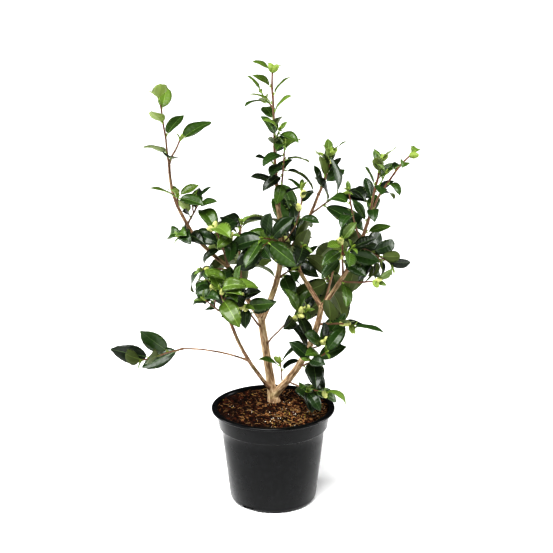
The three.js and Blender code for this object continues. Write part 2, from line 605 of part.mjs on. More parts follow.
/** The two rings that draw a twig's end out into its slim leaf bud. */
function budRings(tip, bud) {
  const onward = heading(tip.azimuth, tip.rise);
  return [
    { ...tip, point: blend([tip.point, 1], [onward, bud.length * 0.4]), radius: bud.radius },
    { ...tip, point: blend([tip.point, 1], [onward, bud.length - BUD.sunk]), radius: 0.15 },
  ];
}

/** A tapering tube along a limb, with a bud at its tip where one grows there. */
function tube(limb, sides, extra = 0) {
  const rings = ringsOf(limb, extra);
  const bud = buds.find((other) => other.endsTwig === limb.name);
  if (bud && extra === 0) rings.push(...budRings(rings.at(-1), bud));
  const last = rings.length - 1;
  return solid(shaped(new THREE.CylinderGeometry(1, 1, last, sides, last), (x, y, z) => {
    const { point, azimuth, rise, radius } = rings[Math.round(y + last / 2)];
    return blend(
      [point, 1], [around(azimuth, rise, 90), -x * radius], [around(azimuth, rise, 0), z * radius]);
  }));
}

/** A leaf: a point sunk through the twig, then three-sided sections with the keel below. */
function leafSolid(leaf) {
  const last = LEAF.stations.length + 1;
  return solid(shaped(new THREE.SphereGeometry(1, 3, last), (x, y, z) => {
    const ring = Math.round((1 - Math.acos(clamp(y, -1, 1)) / Math.PI) * last);
    if (ring === 0) return leaf.root;
    if (ring === last) return bladePoint(leaf, 1, 0).point;
    const keel = x < 0;
    const { point, normal } = bladePoint(leaf, LEAF.stations[ring - 1], keel ? 0 : Math.sign(z));
    return keel ? point.addScaledVector(normal, -leaf.length * LEAF.thickness) : point;
  }));
}

/** A plump flower bud. */
function budSolid(bud) {
  const body = new THREE.SphereGeometry(1, 4, 3).scale(bud.radius, bud.length / 2, bud.radius);
  const turn = new THREE.Quaternion().setFromUnitVectors(new THREE.Vector3(0, 1, 0), bud.direction);
  return solid(body.applyQuaternion(turn).translate(...bud.middle));
}

// ---------------------------------------------------------------- pot and compost

function turned(profile) {
  const points = profile.map(([radius, height]) => new THREE.Vector2(radius, height));
  return new THREE.LatheGeometry(points, POT.sides).rotateX(Math.PI / 2);
}

/** Points of a quarter-round corner between two directions about its centre. */
function corner(centreX, centreY, radius, from, to, steps = 3) {
  const points = [];
  for (let k = 0; k <= steps; k++) {
    const angle = radians(from + ((to - from) * k) / steps);
    points.push([centreX + radius * Math.cos(angle), centreY + radius * Math.sin(angle)]);
  }
  return points;
}

const SHOULDER_FOOT = POT.height - POT.collarHeight - POT.shoulder;
const SHOULDER_TOP = POT.height - POT.collarHeight;
const LIP_FOOT = POT.height - POT.lip;
const LIP_ROUND = POT.lip / 2;

function potShell() {
  const w = POT.wall;
  return solid(turned([
    [0, 0],
    ...corner(POT.baseRadius - POT.corner, POT.corner, POT.corner, -90, 0),
    [POT.bodyTop, SHOULDER_FOOT],
    [POT.collarFoot, SHOULDER_TOP],
    [POT.collarTop, LIP_FOOT],
    ...corner(POT.rimRadius - LIP_ROUND, POT.height - LIP_ROUND, LIP_ROUND, -90, 90, 4),
    [POT.collarTop, POT.height],
    [POT.collarTop - w, POT.height - w],
    [POT.collarFoot - w, SHOULDER_TOP + w / 2],
    [POT.bodyTop - w, SHOULDER_FOOT + w / 2],
    [POT.baseRadius - w, POT.floor + POT.corner],
    [POT.baseRadius - POT.corner, POT.floor],
    [0, POT.floor],
  ]));
}

/** The compost's outline, clear of the pot by the gap, under a gently domed top. */
function compostFill() {
  const inset = POT.wall + GAP;
  const up = (COMPOST.edge - SHOULDER_TOP) / POT.collarHeight;
  const edgeRadius = THREE.MathUtils.lerp(POT.collarFoot, POT.collarTop, up) - inset - GAP;
  return solid(turned([
    [0, POT.floor + GAP],
    [POT.baseRadius - POT.corner - GAP, POT.floor + GAP],
    [POT.baseRadius - inset, POT.floor + POT.corner + GAP],
    [POT.bodyTop - inset, SHOULDER_FOOT + POT.wall / 2 + GAP],
    [POT.collarFoot - inset, SHOULDER_TOP + POT.wall / 2 + GAP],
    [edgeRadius, COMPOST.edge],
    [COMPOST.shoulderRadius, COMPOST.shoulder],
    [COMPOST.flatRadius, COMPOST.top],
    [0, COMPOST.top],
  ]));
}

/** One radial drain channel, `extra` larger all round. */
function channelBlock(number, extra, outer) {
  const length = outer - CHANNEL.inner + extra;
  const height = CHANNEL.height + extra + 1;
  const block = new THREE.BoxGeometry(length, CHANNEL.width + 2 * extra, height);
  block.translate(CHANNEL.inner - extra + length / 2, 0, height / 2 - 1);
  return solid(block.rotateZ(radians(CHANNEL.azimuth + (360 / CHANNEL.count) * number)));
}

function drainHole(number) {
  const hole = new THREE.CylinderGeometry(CHANNEL.hole, CHANNEL.hole, 4 * CHANNEL.height, 8);
  hole.rotateX(Math.PI / 2).translate((CHANNEL.inner + POT.baseRadius) / 2, 0, 0);
  return solid(hole.rotateZ(radians(CHANNEL.azimuth + (360 / CHANNEL.count) * number)));
}

function potAndCompost() {
  let pot = potShell();
  let compost = compostFill();
  const ground = solid(new THREE.BoxGeometry(400, 400, 100).translate(0, 0, -50));
  for (let number = 0; number < CHANNEL.count; number++) {
    pot = pot.add(channelBlock(number, CHANNEL.wall, POT.baseRadius - POT.corner).subtract(ground));
    compost = compost.subtract(
      channelBlock(number, CHANNEL.wall + GAP, POT.baseRadius + POT.corner));
  }
  for (let number = 0; number < CHANNEL.count; number++) {
    pot = pot.subtract(channelBlock(number, 0, POT.rimRadius)).subtract(drainHole(number));
  }
  return [mesh(pot, 'pot', COLOURS.pot), mesh(compost, 'compost', COLOURS.compost)];
}

// ---------------------------------------------------------------- assembly

const camellia = new THREE.Group();
camellia.add(...potAndCompost());

/** Everything below this plane is cut away, which leaves the flat foot of the trunk. */
const below = solid(
  new THREE.BoxGeometry(400, 400, 100).translate(0, 0, COMPOST.top + GAP - 50));

/** Widened tubes of the limbs that stand already, which every later limb is cut clear of. */
const standing = [];

function boxesMeet(one, other) {
  const a = one.boundingBox();
  const b = other.boundingBox();
  return [0, 1, 2].every((axis) => a.min[axis] < b.max[axis] && b.min[axis] < a.max[axis]);
}

function cutClear(body) {
  const near = standing.filter((other) => boxesMeet(body, other));
  return near.reduce((rest, other) => rest.subtract(other), body);
}

for (const { name } of LIMBS) {
  const limb = limbs.get(name);
  const body = cutClear(tube(limb, SIDES.limb)).subtract(below);
  standing.push(tube(limb, SIDES.limb, GAP));
  camellia.add(mesh(body, name, COLOURS.limb));
}

for (const mass of MASSES) {
  const parts = [...limbs.values()].filter((limb) => limb.mass === mass.name);
  const tubes = parts.map((limb) => tube(limb, SIDES.twig));
  const blades = leaves.filter((leaf) => leaf.mass === mass.name).map(leafSolid);
  const flowers = buds.filter((bud) => bud.mass === mass.name && !bud.endsTwig).map(budSolid);
  const body = wasm.Manifold.union([...tubes, ...blades, ...flowers]);
  camellia.add(mesh(cutClear(body), mass.name, COLOURS[mass.tone]));
  standing.push(tube(limbs.get(mass.name), SIDES.twig, GAP));
}

camellia.updateMatrixWorld(true);

export default camellia;
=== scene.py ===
# %% [markdown]
# # A camellia shrub in its nursery pot
# A young camellia, about 0.67 m high with its pot, is a good exercise in growing a plant by rule.
# Its wood, twigs, leaves and buds all come from two tables, of limbs and of shoots, and one seeded
# rule, so that the shrub is the same on every run. The pot and the compost are modelled one by one.
#
# The imported model is loaded first. It holds the plain solids that every piece here replaces, and
# the pot's height and rim are read from its box. The dressed shrub has to stay the same size.

# %% Load the frame
import math

import bpy
import numpy as np
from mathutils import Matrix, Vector, noise


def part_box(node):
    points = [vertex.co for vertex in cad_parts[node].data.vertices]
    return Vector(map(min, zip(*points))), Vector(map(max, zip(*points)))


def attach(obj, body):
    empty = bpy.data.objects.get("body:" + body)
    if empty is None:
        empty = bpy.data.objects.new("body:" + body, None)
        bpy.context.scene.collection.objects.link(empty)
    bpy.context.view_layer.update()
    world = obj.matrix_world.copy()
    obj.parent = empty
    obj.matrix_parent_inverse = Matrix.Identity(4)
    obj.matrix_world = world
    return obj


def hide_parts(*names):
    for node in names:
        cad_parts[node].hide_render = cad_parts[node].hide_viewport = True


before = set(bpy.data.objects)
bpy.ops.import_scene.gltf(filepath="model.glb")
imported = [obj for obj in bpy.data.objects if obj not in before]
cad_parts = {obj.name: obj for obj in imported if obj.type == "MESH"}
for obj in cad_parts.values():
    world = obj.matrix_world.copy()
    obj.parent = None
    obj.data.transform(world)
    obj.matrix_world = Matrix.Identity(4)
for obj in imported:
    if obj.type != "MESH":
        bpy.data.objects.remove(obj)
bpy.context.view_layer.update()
MM = 0.001  # the growth rule and all sizes below are in millimetres

# %% [markdown]
# ## Camera, floor and light
# The camera stands two metres off and looks down a little, so that the compost shows as a narrow
# ellipse and the pot's sides stay nearly upright. A long lens keeps the crown free of distortion.

# %% Camera
POT_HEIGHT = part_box("pot")[1][2] / MM
EYE = {"distance": 2125.0, "elevation": 21.5, "aside": 5.2, "pitch": 16.16, "lens": 90.0}


def place_camera():
    """A camera in front of the pot's rim, tilted down towards the middle of the shrub."""
    elevation = math.radians(EYE["elevation"])
    bpy.ops.object.camera_add(
        location=(
            EYE["aside"] * MM,
            -EYE["distance"] * math.cos(elevation) * MM,
            (POT_HEIGHT + EYE["distance"] * math.sin(elevation)) * MM,
        ),
        rotation=(math.radians(90 - EYE["pitch"]), 0, 0),
    )
    camera = bpy.context.object
    camera.name = "camera"
    camera.data.lens = EYE["lens"]
    bpy.context.scene.camera = camera
    return camera


print("camera at", list(place_camera().location))

# %% [markdown]
# Two helpers serve every material. Colours are written as the hex values that a colour chart
# gives, and Blender wants them linear. A material is a small graph of nodes, and adding one node
# always means the same three things: make it, set it, link it.

# %% Helpers for materials


def linear(hex_colour):
    """A hex sRGB colour as linear RGBA."""
    channels = [int(hex_colour[i:i + 2], 16) / 255 for i in (1, 3, 5)]
    curved = [c / 12.92 if c <= 0.04045 else ((c + 0.055) / 1.055) ** 2.4 for c in channels]
    return (*curved, 1.0)


def add_node(tree, kind, inputs=None, **settings):
    """Adds a shader node, sets it, and fills its inputs with values or links from sockets."""
    node = tree.nodes.new("ShaderNode" + kind)
    for name, value in settings.items():
        setattr(node, name, value)
    for name, value in (inputs or {}).items():
        if isinstance(value, bpy.types.NodeSocket):
            tree.links.new(value, node.inputs[name])
        else:
            node.inputs[name].default_value = value
    return node


def new_material(name, colour, roughness, ior=1.5, **more):
    """A material whose Principled shader has these plain values, with its node tree and shader."""
    material = bpy.data.materials.new(name)
    material.use_nodes = True
    shader = material.node_tree.nodes["Principled BSDF"]
    values = {"Base Color": linear(colour), "Roughness": roughness, "IOR": ior, **more}
    for socket, value in values.items():
        shader.inputs[socket].default_value = value
    material.diffuse_color = linear(colour)
    return material, material.node_tree, shader


def add_bump(tree, shader, height, strength, depth_mm):
    """Turns a height pattern into bump of a real depth on a shader."""
    bump = add_node(tree, "Bump", {"Height": height, "Strength": strength, "Distance": depth_mm * MM})
    tree.links.new(bump.outputs["Normal"], shader.inputs["Normal"])


def ramp(tree, factor, stops):
    """A colour ramp from a factor, with (place, hex colour) stops."""
    node = add_node(tree, "ValToRGB", {"Fac": factor})
    elements = node.color_ramp.elements
    while len(elements) < len(stops):
        elements.new(0.5)
    for element, (place, colour) in zip(elements, stops):
        element.position = place
        element.color = linear(colour)
    return node.outputs["Color"]


def object_noise(tree, size_mm, detail=2.0, stretch=(1, 1, 1)):
    """Noise in the piece's own space, with lumps of about this size."""
    place = add_node(tree, "TexCoord").outputs["Object"]
    mapped = add_node(tree, "Mapping", {"Vector": place, "Scale": stretch})
    node = add_node(
        tree, "TexNoise",
        {"Vector": mapped.outputs["Vector"], "Scale": 1 / (size_mm * MM), "Detail": detail})
    return node.outputs["Fac"]

# %% [markdown]
# A studio for plants is a white room: a pale floor, white all round, and large soft lamps. Leaves
# with a waxy skin live from what they mirror, so the side behind the camera is kept darker, and
# gloss then shows only where a leaf turns towards the light.

# %% Floor and light
STUDIO = {
    "white": "#ffffff",
    "room": 0.06,  # brightness of the walls as the shrub sees them
    "front": 0.03,  # brightness of the side behind the camera
    "floor": "#f2f2f2",
    "floor_size": 30.0,
}
SUN = {"tilt": 32.0, "azimuth": 248.0, "strength": 4.7, "width": 42.0}
LAMPS = [  # name, place in metres, aim height, width and height, power in watts
    ("left_soft_box", (-1.15, 0.1, 0.75), 0.2, (0.35, 1.3), 13.0),
    ("right_soft_box", (1.15, 0.15, 0.75), 0.2, (0.35, 1.3), 13.0),
]


def light_room():
    """White walls for the camera, and for everything else dim walls that darken to the front."""
    world = bpy.data.worlds.new("studio")
    bpy.context.scene.world = world
    world.use_nodes = True
    tree = world.node_tree
    direction = add_node(tree, "TexCoord").outputs["Generated"]
    y = add_node(tree, "SeparateXYZ", {"Vector": direction}).outputs["Y"]
    darkening = add_node(
        tree, "MapRange",
        {"Value": y, "From Min": -1.0, "From Max": 0.15, "To Min": STUDIO["front"],
         "To Max": STUDIO["room"]},
        interpolation_type="SMOOTHSTEP")
    seen = add_node(tree, "LightPath").outputs["Is Camera Ray"]
    strength = add_node(
        tree, "Mix", {"Factor": seen, "A": darkening.outputs["Result"], "B": 1.0})
    background = tree.nodes["Background"]
    background.inputs["Color"].default_value = linear(STUDIO["white"])
    tree.links.new(strength.outputs["Result"], background.inputs["Strength"])


def add_sun():
    """The main light: very wide, so that it is even over the whole floor and its shadows soft."""
    bpy.ops.object.light_add(type="SUN")
    sun = bpy.context.object
    sun.name = "wide_main_light"
    sun.rotation_euler = (math.radians(SUN["tilt"]), 0, math.radians(SUN["azimuth"] + 90))
    sun.data.energy = SUN["strength"]
    sun.data.angle = math.radians(SUN["width"])


def add_lamp(name, place, aim_height, size, power):
    """A rectangular soft box aimed at the middle of the shrub."""
    bpy.ops.object.light_add(type="AREA", location=place)
    lamp = bpy.context.object
    lamp.name = name
    aim = Vector((0, 0, aim_height)) - Vector(place)
    lamp.rotation_euler = aim.to_track_quat("-Z", "Y").to_euler()
    lamp.data.shape = "RECTANGLE"
    lamp.data.size, lamp.data.size_y = size
    lamp.data.energy = power
    lamp.visible_camera = False


def lay_floor():
    bpy.ops.mesh.primitive_plane_add(size=STUDIO["floor_size"], location=(0, 0, 0))
    floor = bpy.context.object
    floor.name = "floor"
    floor.data.materials.append(new_material("matt_white_board", STUDIO["floor"], 0.9)[0])


light_room()
add_sun()
for lamp_settings in LAMPS:
    add_lamp(*lamp_settings)
lay_floor()
bpy.context.scene.view_settings.view_transform = "Standard"
bpy.context.scene.view_settings.look = "High Contrast"
print("studio: floor, dim room, main light and", len(LAMPS), "soft boxes")

# %% [markdown]
# ## Growing the shrub
# Every limb marches in short straight steps from its parent, and its rise and its azimuth drift
# evenly on the way, with a small wander from seeded dice. That is how a camellia grows: each
# year's shoot leaves the wood at a wide angle and then turns up to the light. Azimuths are degrees
# from +X towards +Y, rises are degrees above level, and lengths and radii are millimetres.
#
# The first table holds the wood, from the trunk out. `on` and `at` say where a limb leaves its
# parent, and `foot` and `tip` are its radii. The numbers in this table and the next weren't chosen
# by hand. Most of them were found by fitting and search programs outside this script, and copied
# in, so don't read them as an example of how to choose such values.

# %% The wood
LIMBS = [
    dict(name="trunk", flare=True, azimuth=150, rise=81, length=132, bend=0, turn=8, foot=7.2,
         tip=5.6, wander=2),
    dict(name="leader", on="trunk", at=1, azimuth=350, rise=62, length=186, bend=41, turn=3,
         foot=4.8, tip=3.6, wander=3),
    dict(name="left_bough", on="trunk", at=1, azimuth=164, rise=48, length=95, bend=17, turn=-2,
         foot=4.2, tip=3.3, wander=4),
    dict(name="upper_left_bough", on="left_bough", at=1, azimuth=174, rise=31, length=189,
         bend=59, turn=1, foot=3.2, tip=2.1, wander=3),
    dict(name="left_stem", on="trunk", at=0.13, azimuth=224, rise=46, length=161, bend=25,
         turn=-10, foot=3.3, tip=2.5, wander=2),
    dict(name="low_left_bough", on="left_stem", at=0.46, azimuth=212, rise=32, length=121,
         bend=-23, turn=-1, foot=1.6, tip=1.3, wander=2),
    dict(name="right_stem", on="trunk", at=0.06, azimuth=338, rise=48, length=185, bend=27,
         turn=-32, foot=6.2, tip=4.2, wander=3),
    dict(name="right_bough", on="right_stem", at=1, azimuth=342, rise=56, length=126, bend=13,
         turn=13, foot=3.6, tip=2.9, wander=4),
    dict(name="right_inner_bough", on="right_stem", at=1, azimuth=129, rise=42, length=65,
         bend=-1, turn=3, foot=3.6, tip=3, wander=4),
    dict(name="upper_right_bough", on="leader", at=0.52, azimuth=42, rise=33, length=122,
         bend=33, turn=-2, foot=3, tip=2.3, wander=4),]
print("wood:", len(LIMBS), "limbs,", sum(limb["length"] for limb in LIMBS), "mm in all")

# %% [markdown]
# The second table holds the shoots that carry the foliage, one for each mass of leaves. `leaf` is
# the length of a full-grown leaf, `phase` turns the first leaf about the stem, and `divergence`
# is the turn from each leaf to the next: near 180 degrees the leaves stand in two rows, and near
# 137 they spiral.

# %% The leafy shoots
SHOOT_DEFAULTS = dict(
    foot=1.6, tip=1.0, wander=5, twigs=0, buds=1, bare=0.3, spread=62, droop=12, curl=40, up=0.6,
    tone="mature")
SHOOTS = [{**SHOOT_DEFAULTS, **shoot} for shoot in [
    dict(name="crown_top", on="leader", at=1, azimuth=163, rise=83, length=199, bend=7, turn=-11,
         foot=2.7, tip=1.2, leaves=15, twigs=2, buds=3, leaf=40, bare=0.05, phase=330,
         divergence=165, spread=54, droop=6, up=0.75, tone="mid", seed=45),
    dict(name="upper_left_tip", on="upper_left_bough", at=1, azimuth=218, rise=82, length=100,
         bend=-3, turn=-1, leaves=5, leaf=48, bare=0.15, phase=180, divergence=165, spread=80,
         droop=-25, curl=15, up=0.35, tone="young", seed=86),
    dict(name="upper_left_side", on="upper_left_bough", at=1, azimuth=9, rise=69, length=38,
         bend=-9, turn=1, foot=1.7, tip=1.1, leaves=2, leaf=68, bare=0.15, phase=330,
         divergence=180, droop=-2, curl=25, up=0.2, seed=13),
    dict(name="upper_left_mid", on="upper_left_bough", at=0.64, azimuth=270, rise=56, length=20,
         bend=34, turn=5, foot=1.2, leaves=5, leaf=42, bare=0.75, phase=330, divergence=150,
         spread=56, droop=40, curl=15, up=0.95, tone="mid", seed=36),
    dict(name="upper_right", on="upper_right_bough", at=1, azimuth=24, rise=66, length=66,
         bend=16, turn=3, foot=2.1, tip=1.2, leaves=9, twigs=1, buds=2, leaf=35, bare=0.15,
         phase=0, divergence=165, spread=46, droop=-10, curl=15, up=0.45, tone="mid", seed=84),
    dict(name="back_crown", on="leader", at=0.32, azimuth=72, rise=48, length=126, bend=-5,
         turn=1, foot=2.2, tip=1.1, leaves=6, twigs=2, leaf=61, bare=0.25, phase=270,
         divergence=165, spread=54, droop=6, up=0.8, seed=16),
    dict(name="back_left", on="left_bough", at=0.5, azimuth=102, rise=44, length=113, bend=7,
         turn=-13, foot=2, tip=1.1, leaves=8, twigs=2, leaf=57, phase=105, divergence=180,
         spread=54, droop=32, curl=60, up=0.2, seed=48),
    dict(name="back_right", on="right_stem", at=0.9, azimuth=66, rise=42, length=144, bend=-14,
         turn=19, foot=2.2, tip=1.1, leaves=8, twigs=2, leaf=61, bare=0.2, phase=45,
         divergence=165, spread=54, droop=40, curl=90, up=0.2, seed=70),
    dict(name="upper_left_leaves", on="upper_left_bough", at=0.35, azimuth=196, rise=7,
         length=23, bend=2, turn=0, foot=1.2, leaves=7, leaf=49, bare=0.05, phase=75,
         divergence=180, spread=80, droop=-25, curl=90, up=0.45, seed=97),
    dict(name="upper_right_low", on="upper_right_bough", at=0.74, azimuth=0, rise=38, length=58,
         bend=-13, turn=-4, foot=1.5, leaves=5, leaf=63, bare=0.4, phase=210, divergence=165,
         spread=80, droop=-25, curl=25, up=0.2, seed=33),
    dict(name="left_low_cluster", on="left_bough", at=0.92, azimuth=204, rise=19, length=47,
         bend=-17, turn=4, foot=1.7, tip=1.1, leaves=4, twigs=1, leaf=59, bare=0.2, phase=90,
         divergence=165, droop=8, curl=90, seed=87),
    dict(name="right_inner", on="right_inner_bough", at=1, azimuth=109, rise=71, length=49,
         bend=12, turn=-9, foot=2.1, tip=1.2, leaves=7, twigs=1, buds=2, leaf=49, bare=0.05,
         phase=30, divergence=165, spread=46, droop=0, curl=15, up=0.2, seed=90),
    dict(name="small_right_twig", on="leader", at=0.67, azimuth=326, rise=42, length=100,
         bend=54, turn=-15, foot=1.3, tip=0.8, leaves=6, leaf=32, bare=0.4, phase=15,
         divergence=137, spread=54, droop=10, curl=35, up=0.8, seed=67),
    dict(name="leader_left", on="leader", at=0.68, azimuth=229, rise=26, length=43, bend=-8,
         turn=-3, leaves=4, twigs=1, leaf=62, bare=0.6, phase=90, divergence=150, spread=70,
         droop=4, curl=20, up=0.45, seed=90),
    dict(name="leader_right", on="leader", at=0.61, azimuth=309, rise=14, length=55, bend=10,
         turn=-1, foot=1.7, leaves=2, twigs=1, leaf=63, bare=0.5, phase=130, divergence=137,
         spread=54, droop=40, curl=45, seed=5),
    dict(name="left_inner", on="left_bough", at=1, azimuth=241, rise=69, length=77, bend=-15,
         turn=-5, foot=2, tip=1.2, leaves=7, twigs=1, buds=3, leaf=56, phase=0, divergence=137,
         spread=70, droop=4, curl=90, up=0.45, tone="mid", seed=52),
    dict(name="hanging_left", on="trunk", at=0.89, azimuth=230, rise=40, length=107, bend=19,
         turn=8, foot=1.7, leaves=6, twigs=1, buds=3, leaf=44, bare=0.4, phase=45,
         divergence=137, spread=54, droop=26, curl=20, up=0.2, seed=30),
    dict(name="right_outer", on="right_bough", at=0.86, azimuth=6, rise=-17, length=51, bend=-18,
         turn=-5, foot=1.7, leaves=8, twigs=1, leaf=45, bare=0.05, phase=30, divergence=165,
         spread=70, droop=26, curl=50, up=0.45, seed=80),
    dict(name="right_top", on="right_bough", at=1, azimuth=13, rise=76, length=116, bend=3,
         turn=0, foot=2.4, tip=1.2, leaves=11, twigs=1, buds=2, leaf=37, bare=0.05, phase=180,
         divergence=150, spread=54, droop=0, curl=15, up=0.75, tone="mid", seed=28),
    dict(name="right_far", on="right_bough", at=1, azimuth=343, rise=79, length=143, bend=-33,
         turn=6, foot=2, tip=1.1, leaves=6, twigs=1, buds=2, leaf=34, phase=260, divergence=180,
         spread=78, droop=-18, curl=90, tone="mid", seed=97),
    dict(name="inner_right", on="trunk", at=0.66, azimuth=317, rise=56, length=107, bend=-25,
         turn=6, foot=1.5, tip=0.9, leaves=7, leaf=47, bare=0.7, phase=135, divergence=137,
         spread=70, droop=6, curl=25, up=0.3, seed=19),
    dict(name="right_centre", on="right_bough", at=0.46, azimuth=268, rise=71, length=71,
         bend=-15, turn=-8, foot=1.8, tip=1.1, leaves=7, twigs=1, buds=2, leaf=44, bare=0.4,
         phase=60, divergence=180, spread=46, droop=40, curl=15, up=0.35, tone="mid", seed=28),
    dict(name="right_mid", on="right_bough", at=0.4, azimuth=324, rise=6, length=63, bend=9,
         turn=-3, foot=1.8, leaves=2, twigs=1, buds=2, leaf=40, bare=0.05, phase=240,
         divergence=137, spread=40, droop=14, curl=35, up=0.2, tone="mid", seed=63),
    dict(name="stem_twig", on="right_stem", at=0.14, azimuth=207, rise=80, length=39, bend=5,
         turn=4, foot=1.2, tip=0.8, leaves=3, buds=2, leaf=49, bare=0.6, phase=30,
         divergence=180, spread=80, droop=-12, curl=25, up=0.35, seed=85),
    dict(name="right_low", on="right_stem", at=0.38, azimuth=305, rise=20, length=82, bend=20,
         turn=-1, leaves=5, twigs=1, leaf=52, bare=0.15, phase=165, divergence=150, spread=54,
         droop=-25, curl=45, seed=93),
    dict(name="right_stem_spray", on="right_stem", at=0.57, azimuth=303, rise=32, length=56,
         bend=-5, turn=-3, foot=1.5, leaves=6, leaf=59, bare=0.4, phase=240, divergence=137,
         droop=2, curl=20, up=0.45, seed=59),
    dict(name="right_stub", on="right_stem", at=0.83, azimuth=328, rise=21, length=63, bend=-22,
         turn=-10, foot=1.8, tip=1.2, leaves=5, buds=2, leaf=59, bare=0.1, phase=165,
         divergence=165, spread=70, droop=4, curl=15, up=0.95, seed=45),
    dict(name="left_outer", on="left_stem", at=1, azimuth=217, rise=37, length=53, bend=1,
         turn=0, leaves=2, twigs=1, leaf=41, bare=0.45, phase=285, divergence=150, spread=70,
         droop=-2, curl=90, seed=19),
    dict(name="left_front", on="left_stem", at=1, azimuth=242, rise=57, length=58, bend=3,
         turn=7, foot=1.7, tip=1.1, leaves=6, twigs=1, buds=2, leaf=54, bare=0.55, phase=315,
         divergence=180, spread=70, droop=-16, curl=85, up=0.2, tone="young", seed=32),
    dict(name="low_left_spray", on="low_left_bough", at=1, azimuth=221, rise=2, length=72,
         bend=-8, turn=-5, foot=1.4, tip=0.9, leaves=5, leaf=60, bare=0.05, phase=210,
         divergence=137, spread=40, droop=-20, curl=15, up=0.35, seed=24),
    dict(name="low_right_shoot", on="right_stem", at=0.21, azimuth=298, rise=-2, length=91,
         bend=13, turn=18, foot=1.5, leaves=7, twigs=1, buds=2, leaf=47, bare=0.2, phase=165,
         divergence=165, spread=46, droop=24, curl=75, up=0.9, tone="mid", seed=11),
    dict(name="leader_spray", on="leader", at=0.96, azimuth=293, rise=68, length=103, bend=18,
         turn=7, leaves=8, leaf=49, bare=0.45, phase=135, divergence=165, spread=80, droop=23,
         curl=54, up=0.95, tone="mid", seed=66, wander=3),
    dict(name="centre_spray", on="leader", at=0.36, azimuth=334, rise=48, length=31, bend=-24,
         turn=13, leaves=5, leaf=54, bare=0.25, phase=45, divergence=180, spread=80, droop=0,
         curl=37, up=0.75, seed=13, wander=3),
    dict(name="bough_spray", on="upper_left_bough", at=0.48, azimuth=330, rise=60, length=37,
         bend=0, turn=2, leaves=3, twigs=1, leaf=42, bare=0.35, phase=240, divergence=165,
         spread=40, droop=25, curl=24, seed=11, wander=3),
    dict(name="right_side_spray", on="right_bough", at=0.57, azimuth=53, rise=1, length=57,
         bend=-6, turn=0, leaves=8, leaf=44, bare=0.35, phase=135, divergence=180, spread=80,
         droop=32, curl=34, up=0.75, seed=99, wander=3),
    dict(name="right_end_spray", on="right_bough", at=0.94, azimuth=216, rise=63, length=80,
         bend=15, turn=10, leaves=4, leaf=53, bare=0.25, phase=300, divergence=165, spread=80,
         droop=-14, curl=90, up=0.8, seed=54, wander=3),]]
print("shoots:", len(SHOOTS), "with", sum(shoot["leaves"] for shoot in SHOOTS), "leaves on stems")

# %% [markdown]
# The rule's own numbers come next. They say how a leaf sits on its twig, how much one leaf differs
# from the next, how leaves shrink and crowd towards a shoot's tip, and how far everything keeps
# clear of its neighbours.

# %% The rule's numbers
STEP = 14  # length of one straight stretch of a limb
SOIL = 147  # height of the compost at the trunk's foot
TRUNK_FOOT = (1, 28)
POT_KEEP_OUT = {"radius": 100, "height": 154}
LEAF = dict(
    width=0.53, petiole=4, petiole_share=0.05, fold=14, widest=0.82, fullness=0.8, least_curl=8,
    bright_side=0.3, tries=(0, 30, -30, 55, -55, 80, -80), try_shrink=0.06, reach=1.6)
VARIETY = dict(angle=12, spread=8, droop=8, roll=22, size=0.12, width=0.05, curl=12, fold=6, twist=14)
TOWARDS_TIP = dict(size=-0.22, spread=-0.38, droop=-0.6, crowding=0.85, last=0.985)
BUD = dict(leaf=12, flower=14, pale=0.6, swing=0.1, sunk=1, turn=150, first_turn=70)
NEAR_ENOUGH = dict(limb=0.7, leaf=0.62)  # nothing is tested beyond this share of the lengths
CLEARANCE = dict(limb=3, own_limb=1.2, leaf=4.2, own_leaf=3, bud=2.5, twig=4)
TWIG = dict(
    first=0.35, last=0.85, spread=48, golden=137.5, turn=15, lean=8, share=0.4, least=20, most=36,
    variety=0.15, bend=12, wander=5, foot=0.7, least_foot=0.9, tip=0.8, leaves=3, bare=0.4,
    phase=90, leaf=0.92)
SAMPLES_ALONG, SAMPLES_ACROSS, SAMPLES_NEAR = 8, 2, 15

# %% [markdown]
# Seeded dice and directions. The dice are a few lines of arithmetic instead of a library's random
# numbers, because the same three lines give the same plant in any language and any version.

# %% Dice and directions
UP = np.array([0.0, 0.0, 1.0])
BRIGHT_SIDE = np.array([0.0, -1.0, 0.0])


class Dice:
    """A small generator, so that one seed always grows the same twig."""

    def __init__(self, seed):
        self.state = seed * 7919 + 17

    def roll(self):
        self.state = (self.state * 1664525 + 1013904223) % 4294967296
        return self.state / 4294967296

    def swing(self, most):
        return (2 * self.roll() - 1) * most

    def between(self, low, high):
        return low + (high - low) * self.roll()


def unit(vector):
    return vector / np.linalg.norm(vector)


def heading(azimuth, rise):
    azimuth, rise = math.radians(azimuth), math.radians(rise)
    level = math.cos(rise)
    return np.array([level * math.cos(azimuth), level * math.sin(azimuth), math.sin(rise)])


def around(azimuth, rise, angle):
    """Unit vector square to a limb, `angle` degrees round from its upper side."""
    side = np.array([-math.sin(math.radians(azimuth)), math.cos(math.radians(azimuth)), 0.0])
    top = np.cross(heading(azimuth, rise), side)
    return top * math.cos(math.radians(angle)) + side * math.sin(math.radians(angle))

# %% [markdown]
# A limb's course is its row of points, with the direction of each stretch. All courses are laid
# before any leaf grows, so that leaves can keep clear of wood that is still to be dressed.

# %% Courses of limbs
limbs = {}


